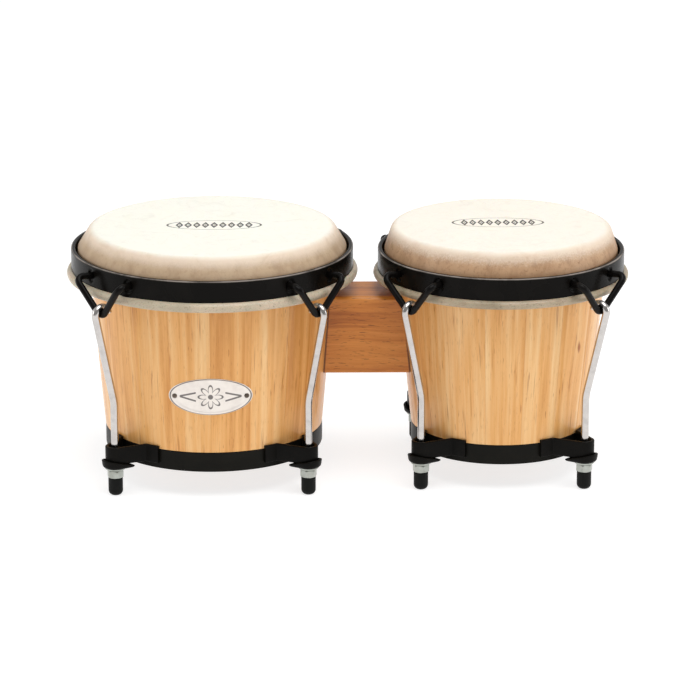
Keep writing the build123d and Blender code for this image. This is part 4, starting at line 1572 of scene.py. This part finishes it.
@dataclass
class Badge:
    """The oval plate on the large drum, bent to the shell, with a raised border."""

    drum: DrumPlace
    plate: Material
    steel: Material
    thick: float = 0.7 * MM
    border: float = 0.16
    dish: float = 0.25 * MM
    columns: int = 128
    face_rows: int = 16
    border_rows: int = 12
    cross_arm: float = 0.24 * MM
    cross_reach: float = 1.0 * MM
    cross_depth: float = 0.3 * MM

    def build(self) -> list[Piece]:
        """Make the plate and its two pins."""
        return [self._plate(), self._pins()]

    def _plate(self) -> Piece:
        """The plate as a closed oval skin on the shell's front."""
        lo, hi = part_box("badge")
        half_w, half_h = (hi.x - lo.x) / 2, (hi.z - lo.z) / 2
        mid_z, d = (hi.z + lo.z) / 2, self.drum
        shares = np.concatenate([
            np.linspace(0, 1 - self.border, self.face_rows)[1:],
            np.linspace(1 - self.border, 1, self.border_rows)[1:]])
        verts, uvs = [], []

        def put(share: float, angle: float, lift: float) -> None:
            """Add a point at a share of the way out, so far in front of the shell."""
            x, z = half_w * share * math.cos(angle), half_h * share * math.sin(angle)
            seat = d.shell_radius(mid_z + z) + lift
            verts.append((d.axis_x + x, -math.sqrt(seat ** 2 - x ** 2), mid_z + z))
            uvs.append((x, z))

        put(0, 0, self._lift(0))
        angles = [2 * math.pi * k / self.columns for k in range(self.columns)]
        for share in shares:
            for angle in angles:
                put(share, angle, self._lift(share))
        for angle in angles:
            put(1.0, angle, 0.0)
        put(0, 0, 0.0)
        rings = len(shares) + 1
        last = len(verts) - 1
        faces = []
        for k in range(self.columns):
            nxt = (k + 1) % self.columns
            faces.append((0, 1 + k, 1 + nxt))
            for r in range(rings - 1):
                a, b = 1 + r * self.columns, 1 + (r + 1) * self.columns
                faces.append((a + k, b + k, b + nxt, a + nxt))
            end = 1 + (rings - 1) * self.columns
            faces.append((last, end + nxt, end + k))
        mesh = bpy.data.meshes.new("badge_plate")
        mesh.from_pydata(verts, [], faces)
        map_vertices(mesh, uvs)
        finish_mesh(mesh)
        piece = new_object("badge_plate", mesh)
        piece.data.materials.append(self.plate)
        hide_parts("badge")
        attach(piece, FRAME_BODY)
        return piece

    def _lift(self, share: float) -> float:
        """How proud the plate stands at a share of its way out: flat, then a rounded border."""
        across = (share - (1 - self.border)) / self.border
        if across <= 0:
            return self.thick - self.dish
        bead = math.sqrt(max(0.0, 1 - (2 * across - 1) ** 2))
        return self.thick * (0.64 + 0.36 * bead) if across < 0.5 else self.thick * (0.25 + 0.75 * bead)

    def _pins(self) -> Piece:
        """Two domed pin heads with a cross cut in each."""
        pins = []
        lo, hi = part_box("badge_pins")
        d = self.drum
        z = (lo.z + hi.z) / 2
        head_r = (hi.z - lo.z) / 2
        spread = (hi.x - lo.x) / 2 - head_r
        for side in (-1, 1):
            seat_r = d.shell_radius(z) + self.thick - self.dish
            turn = math.asin(spread / seat_r) * side
            pins.append(self._pin(head_r, seat_r, turn, z))
        piece = join_objects("badge_pin_heads", pins)
        piece.data.materials.append(self.steel)
        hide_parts("badge_pins")
        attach(piece, FRAME_BODY)
        return piece

    def _pin(self, head_r: float, seat_r: float, turn: float, z: float) -> Piece:
        """One pin: a shank in the wood under a dome with a sunk cross."""
        rise, skirt, shank_r, shank = 0.9 * MM, 0.1 * MM, 0.6 * MM, 5 * MM
        turns = even_turns(64)
        shares = np.linspace(0, 1, 17)
        dome_r = head_r * shares
        dome_z = rise * np.sqrt(np.maximum(0, 1 - shares ** 2))
        under = [[head_r, -skirt], [shank_r, -skirt], [shank_r, -shank], [0, -shank]]
        outline = np.concatenate([np.stack([dome_r, dome_z], 1), under])
        radius, height = same_outline(outline, len(turns))
        cut_x, cut_y = radius * np.cos(turns)[:, None], radius * np.sin(turns)[:, None]
        in_arm = np.minimum(np.abs(cut_x), np.abs(cut_y)) < self.cross_arm
        in_cross = in_arm & (radius < self.cross_reach)
        in_dome = np.arange(len(outline))[None, :] < len(shares)
        height = np.where(in_cross & in_dome, height - self.cross_depth, height)
        pin = turned_mesh("pin", turns, radius, height, 0.0)
        pin.data.transform(
            Matrix.Translation((self.drum.axis_x, 0, z)) @ Matrix.Rotation(turn - math.pi / 2, 4, "Z")
            @ Matrix.Translation((seat_r, 0, 0)) @ Matrix.Rotation(math.pi / 2, 4, "Y"))
        return pin


def join_objects(name: str, pieces: list[Piece]) -> Piece:
    """Join several objects at the origin into one."""
    with bpy.context.temp_override(
            active_object=pieces[0], selected_objects=pieces, selected_editable_objects=pieces):
        bpy.ops.object.join()
    pieces[0].name = name
    pieces[0].data.name = name
    return pieces[0]


# ------------------------------------------------------------------ studio
@dataclass
class Studio:
    """Camera, soft light and a pale floor."""

    azimuth_deg: float = -0.62
    elevation_deg: float = 16.74
    distance: float = 2.5
    lens: float = 184.0
    sensor: float = 36.0
    aim: tuple[float, float, float] = (0.0015, 0.0, 0.0831)
    floor_half: float = 12.0

    def build(self) -> None:
        """Put up everything that isn't the object."""
        self._camera()
        self._floor()
        self._lights()
        self._surround()
        bpy.context.scene.view_settings.view_transform = "Standard"

    def _camera(self) -> None:
        """A long lens, a little above level."""
        a, e = math.radians(self.azimuth_deg), math.radians(self.elevation_deg)
        back = Vector((math.sin(a) * math.cos(e), -math.cos(a) * math.cos(e), math.sin(e)))
        data = bpy.data.cameras.new("camera")
        data.lens, data.sensor_width = self.lens, self.sensor
        data.clip_start, data.clip_end = 0.1, 60.0
        camera = bpy.data.objects.new("camera", data)
        bpy.context.scene.collection.objects.link(camera)
        camera.location = Vector(self.aim) + back * self.distance
        camera.rotation_euler = (-back).to_track_quat("-Z", "Y").to_euler()
        bpy.context.scene.camera = camera

    def _floor(self) -> None:
        """A wide pale floor at the level of the feet."""
        mesh = bpy.data.meshes.new("floor")
        half = self.floor_half
        mesh.from_pydata(
            [(-half, -half, LEVEL), (half, -half, LEVEL), (half, half, LEVEL), (-half, half, LEVEL)],
            [], [(0, 1, 2, 3)])
        floor = new_object("floor", mesh)
        w = Wiring("floor_paper")
        soft = w.noise(w.place(), 3.0, 2.0)
        w.shade(Base_Color=w.mix(soft, (0.40, 0.40, 0.40), (0.42, 0.42, 0.42)), Roughness=0.9)
        w.shade(Emission_Color=(1.0, 1.0, 1.0, 1.0), Emission_Strength=0.76, Specular_IOR_Level=0.1)
        floor.data.materials.append(w.material)

    def _lights(self) -> None:
        """A wide key from above and two side panels."""
        self._panel("key", (0.25, -0.6, 2.0), (0.0, 0.0, 0.08), 1.4, 25.0)
        self._panel("left_panel", (-2.2, -0.3, 0.7), (0.0, 0.0, 0.1), 1.0, 8.0)
        self._panel("right_panel", (2.2, -0.3, 0.7), (0.0, 0.0, 0.1), 1.0, 10.0)

    def _panel(self, name: str, place: tuple, aim: tuple, size: float, power: float) -> None:
        """One square area light."""
        data = bpy.data.lights.new(name, "AREA")
        data.size, data.energy = size, power
        lamp = bpy.data.objects.new(name, data)
        bpy.context.scene.collection.objects.link(lamp)
        lamp.location = place
        lamp.rotation_euler = (Vector(place) - Vector(aim)).to_track_quat("Z", "Y").to_euler()

    def _surround(self) -> None:
        """A white surround that is dimmer on the camera's side, where a studio is open."""
        world = bpy.data.worlds.new("surround")
        world.use_nodes = True
        bpy.context.scene.world = world
        graph = NodeGraph(world.node_tree)
        direction = graph.node("ShaderNodeTexCoord").outputs["Generated"]
        split = graph.node("ShaderNodeSeparateXYZ", {0: direction})
        fade = graph.node("ShaderNodeMapRange", {
            "Value": split.outputs["Y"], "From Min": -0.95, "From Max": 0.0, "To Min": 0.40, "To Max": 0.76,
        }, interpolation_type="SMOOTHSTEP")
        background = graph.node("ShaderNodeBackground", {"Strength": fade.outputs[0]})
        graph.node("ShaderNodeOutputWorld", {"Surface": background.outputs[0]})


# ------------------------------------------------------------------ the whole object
@dataclass
class BongoDrums:
    """Builds every sub-assembly of the pair and dresses what the frame carries over."""

    large: DrumPlace = field(default_factory=lambda: DrumPlace.read("large", Side.RIGHT, 0.9 * MM))
    small: DrumPlace = field(default_factory=lambda: DrumPlace.read("small", Side.LEFT, 0.2 * MM))

    def build(self) -> None:
        """Build the two drums, the badge and the carried-over parts."""
        finishes = self._finishes()
        bars, rods = bent_bar_tree(), threaded_rod_tree()
        straps, rings = strap_tree(), ring_of_staves_tree()
        recipes = (
            (self.large, 18, 3, 32.5 * MM, 1.3, "large_hide", "large_roll"),
            (self.small, 16, 11, 31.0 * MM, 7.9, "small_hide", "small_roll"),
        )
        for drum, staves, seed, drop, wander, hide, roll in recipes:
            outside = finishes["stave_wood_small" if drum is self.small else "stave_wood"]
            report(StaveShell(drum, staves, seed, outside, finishes["bare_wood"]).build(rings))
            report(DrumHead(drum, finishes[hide], wander).build())
            report(HideRoll(drum, finishes[roll], wander + 20).build())
            loops = LugLoops(drum, finishes["loop_black"], drop)
            report(TuningRim(drum, finishes["rim_black"], loops.hole_half, loops.hole_z).build())
            report(*loops.build(bars))
            report(*TuningRods(drum, loops, finishes["chrome"]).build(rods))
            report(RodGuides(drum, finishes["bracket_black"]).build(straps))
            report(*TuningNuts(drum, finishes["zinc"]).build())
        report(*Badge(self.large, finishes["badge"], finishes["pin"]).build())
        self._dress_frame(finishes)

    def _dress_frame(self, finishes: dict[str, Material]) -> None:
        """Give each node that still shows a material of its own kind."""
        kinds = {
            "centre_block": "block_wood", "bottom_ring": "ring_black", "nut_plates": "bracket_black",
            "nut_washers": "zinc", "block_screws": "zinc", "screw_washers": "zinc",
            "flesh_hoop": "hoop", "foot": "rubber", "shell": "stave_wood", "head": "large_hide",
            "skin_roll": "large_roll", "rim": "rim_black", "lug_loop": "loop_black", "hook": "chrome",
            "rod_guides": "bracket_black", "nut": "zinc", "badge": "badge", "badge_pins": "pin",
        }
        for name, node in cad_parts.items():
            best = max((k for k in kinds if k in name), key=len)
            for slot in node.material_slots:
                slot.material = finishes[kinds[best]]
            if not node.hide_render:
                report(node)

    def _finishes(self) -> dict[str, Material]:
        """Every finish of the object, by its short name."""
        plate_lo, plate_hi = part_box("badge")
        block_lo, block_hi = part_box("centre_block")
        made = {
            "stave_wood": StaveWood(
                "stave_wood", tint(250, 208, 150), tint(239, 179, 109), tint(213, 146, 76),
                tint(162, 84, 28), 0.4, 0.36),
            "stave_wood_small": StaveWood(
                "stave_wood_small", tint(250, 209, 152), tint(238, 179, 110), tint(210, 144, 74),
                tint(158, 80, 26), 0.4, 0.36,
                (Knot(0.1285, 0.141, 1.0 * MM, 7 * MM), Knot(0.158, 0.098, 1.6 * MM, 6 * MM))),
            "bare_wood": StaveWood(
                "bare_wood", tint(226, 184, 132), tint(208, 158, 102), tint(184, 128, 74),
                tint(140, 90, 48), 0.0, 0.62),
            "block_wood": BlockWood(
                "block_wood", tint(222, 148, 68), tint(201, 124, 50), tint(166, 92, 32), tint(84, 42, 14),
                tuple(WallCone.beside(drum, block_lo.z, block_hi.z) for drum in (self.large, self.small))),
            "large_hide": HeadHide(
                "large_hide", tint(248, 245, 233), tint(222, 216, 204), tint(188, 163, 133),
                tint(148, 119, 90), 0.35,
                HeadPrint(self.large.axis_x + 1.5 * MM, 0.5 * MM, 33 * MM, 12.5 * MM), *self.large.hide_bend),
            "small_hide": HeadHide(
                "small_hide", tint(247, 240, 227), tint(224, 210, 196), tint(190, 154, 119),
                tint(150, 112, 78), 0.8,
                HeadPrint(self.small.axis_x - 2 * MM, 5.5 * MM, 32 * MM, 12.5 * MM), *self.small.hide_bend),
            "large_roll": RollHide("large_roll", tint(202, 186, 162), tint(176, 165, 142), tint(104, 88, 64)),
            "small_roll": RollHide("small_roll", tint(180, 163, 138), tint(146, 132, 107), tint(82, 66, 44)),
            "rim_black": BlackCoat("rim_black", tint(12, 10, 8), tint(27, 24, 21), 0.22, 0.03 * MM, 0.07),
            "ring_black": BlackCoat("ring_black", tint(18, 17, 13), tint(33, 31, 26), 0.36, 0.05 * MM, 0.09),
            "bracket_black": BlackCoat(
                "bracket_black", tint(13, 12, 10), tint(27, 25, 22), 0.34, 0.06 * MM, 0.07),
            "loop_black": BlackCoat("loop_black", tint(11, 9, 8), tint(26, 24, 22), 0.24, 0.03 * MM, 0.10),
            "chrome": BareMetal("chrome", tint(200, 196, 193), tint(176, 172, 170), 0.10, 0.12),
            "zinc": BareMetal("zinc", tint(182, 186, 180), tint(144, 146, 138), 0.28, 0.16),
            "hoop": BareMetal("hoop_steel", tint(170, 170, 170), tint(120, 116, 110), 0.34, 0.20),
            "pin": BareMetal("pin_metal", tint(120, 108, 98), tint(70, 60, 52), 0.30, 0.15),
            "rubber": Rubber("foot_rubber", tint(15, 16, 15), tint(34, 35, 33)),
            "badge": BadgePlate(
                "badge_metal", tint(244, 236, 228), tint(226, 216, 208), tint(50, 43, 42),
                (plate_hi.x - plate_lo.x) / 2, (plate_hi.z - plate_lo.z) / 2),
        }
        return {name: finish.material() for name, finish in made.items()}


def report(*pieces: Piece) -> None:
    """Log each finished piece with its number of faces."""
    for piece in pieces:
        LOG.info("%s: %d faces", piece.name, len(piece.data.polygons))


def main() -> None:
    """Build the studio and the drums."""
    logging.basicConfig(level=logging.INFO)
    Studio().build()
    BongoDrums().build()


if __name__ == "__main__":
    main()
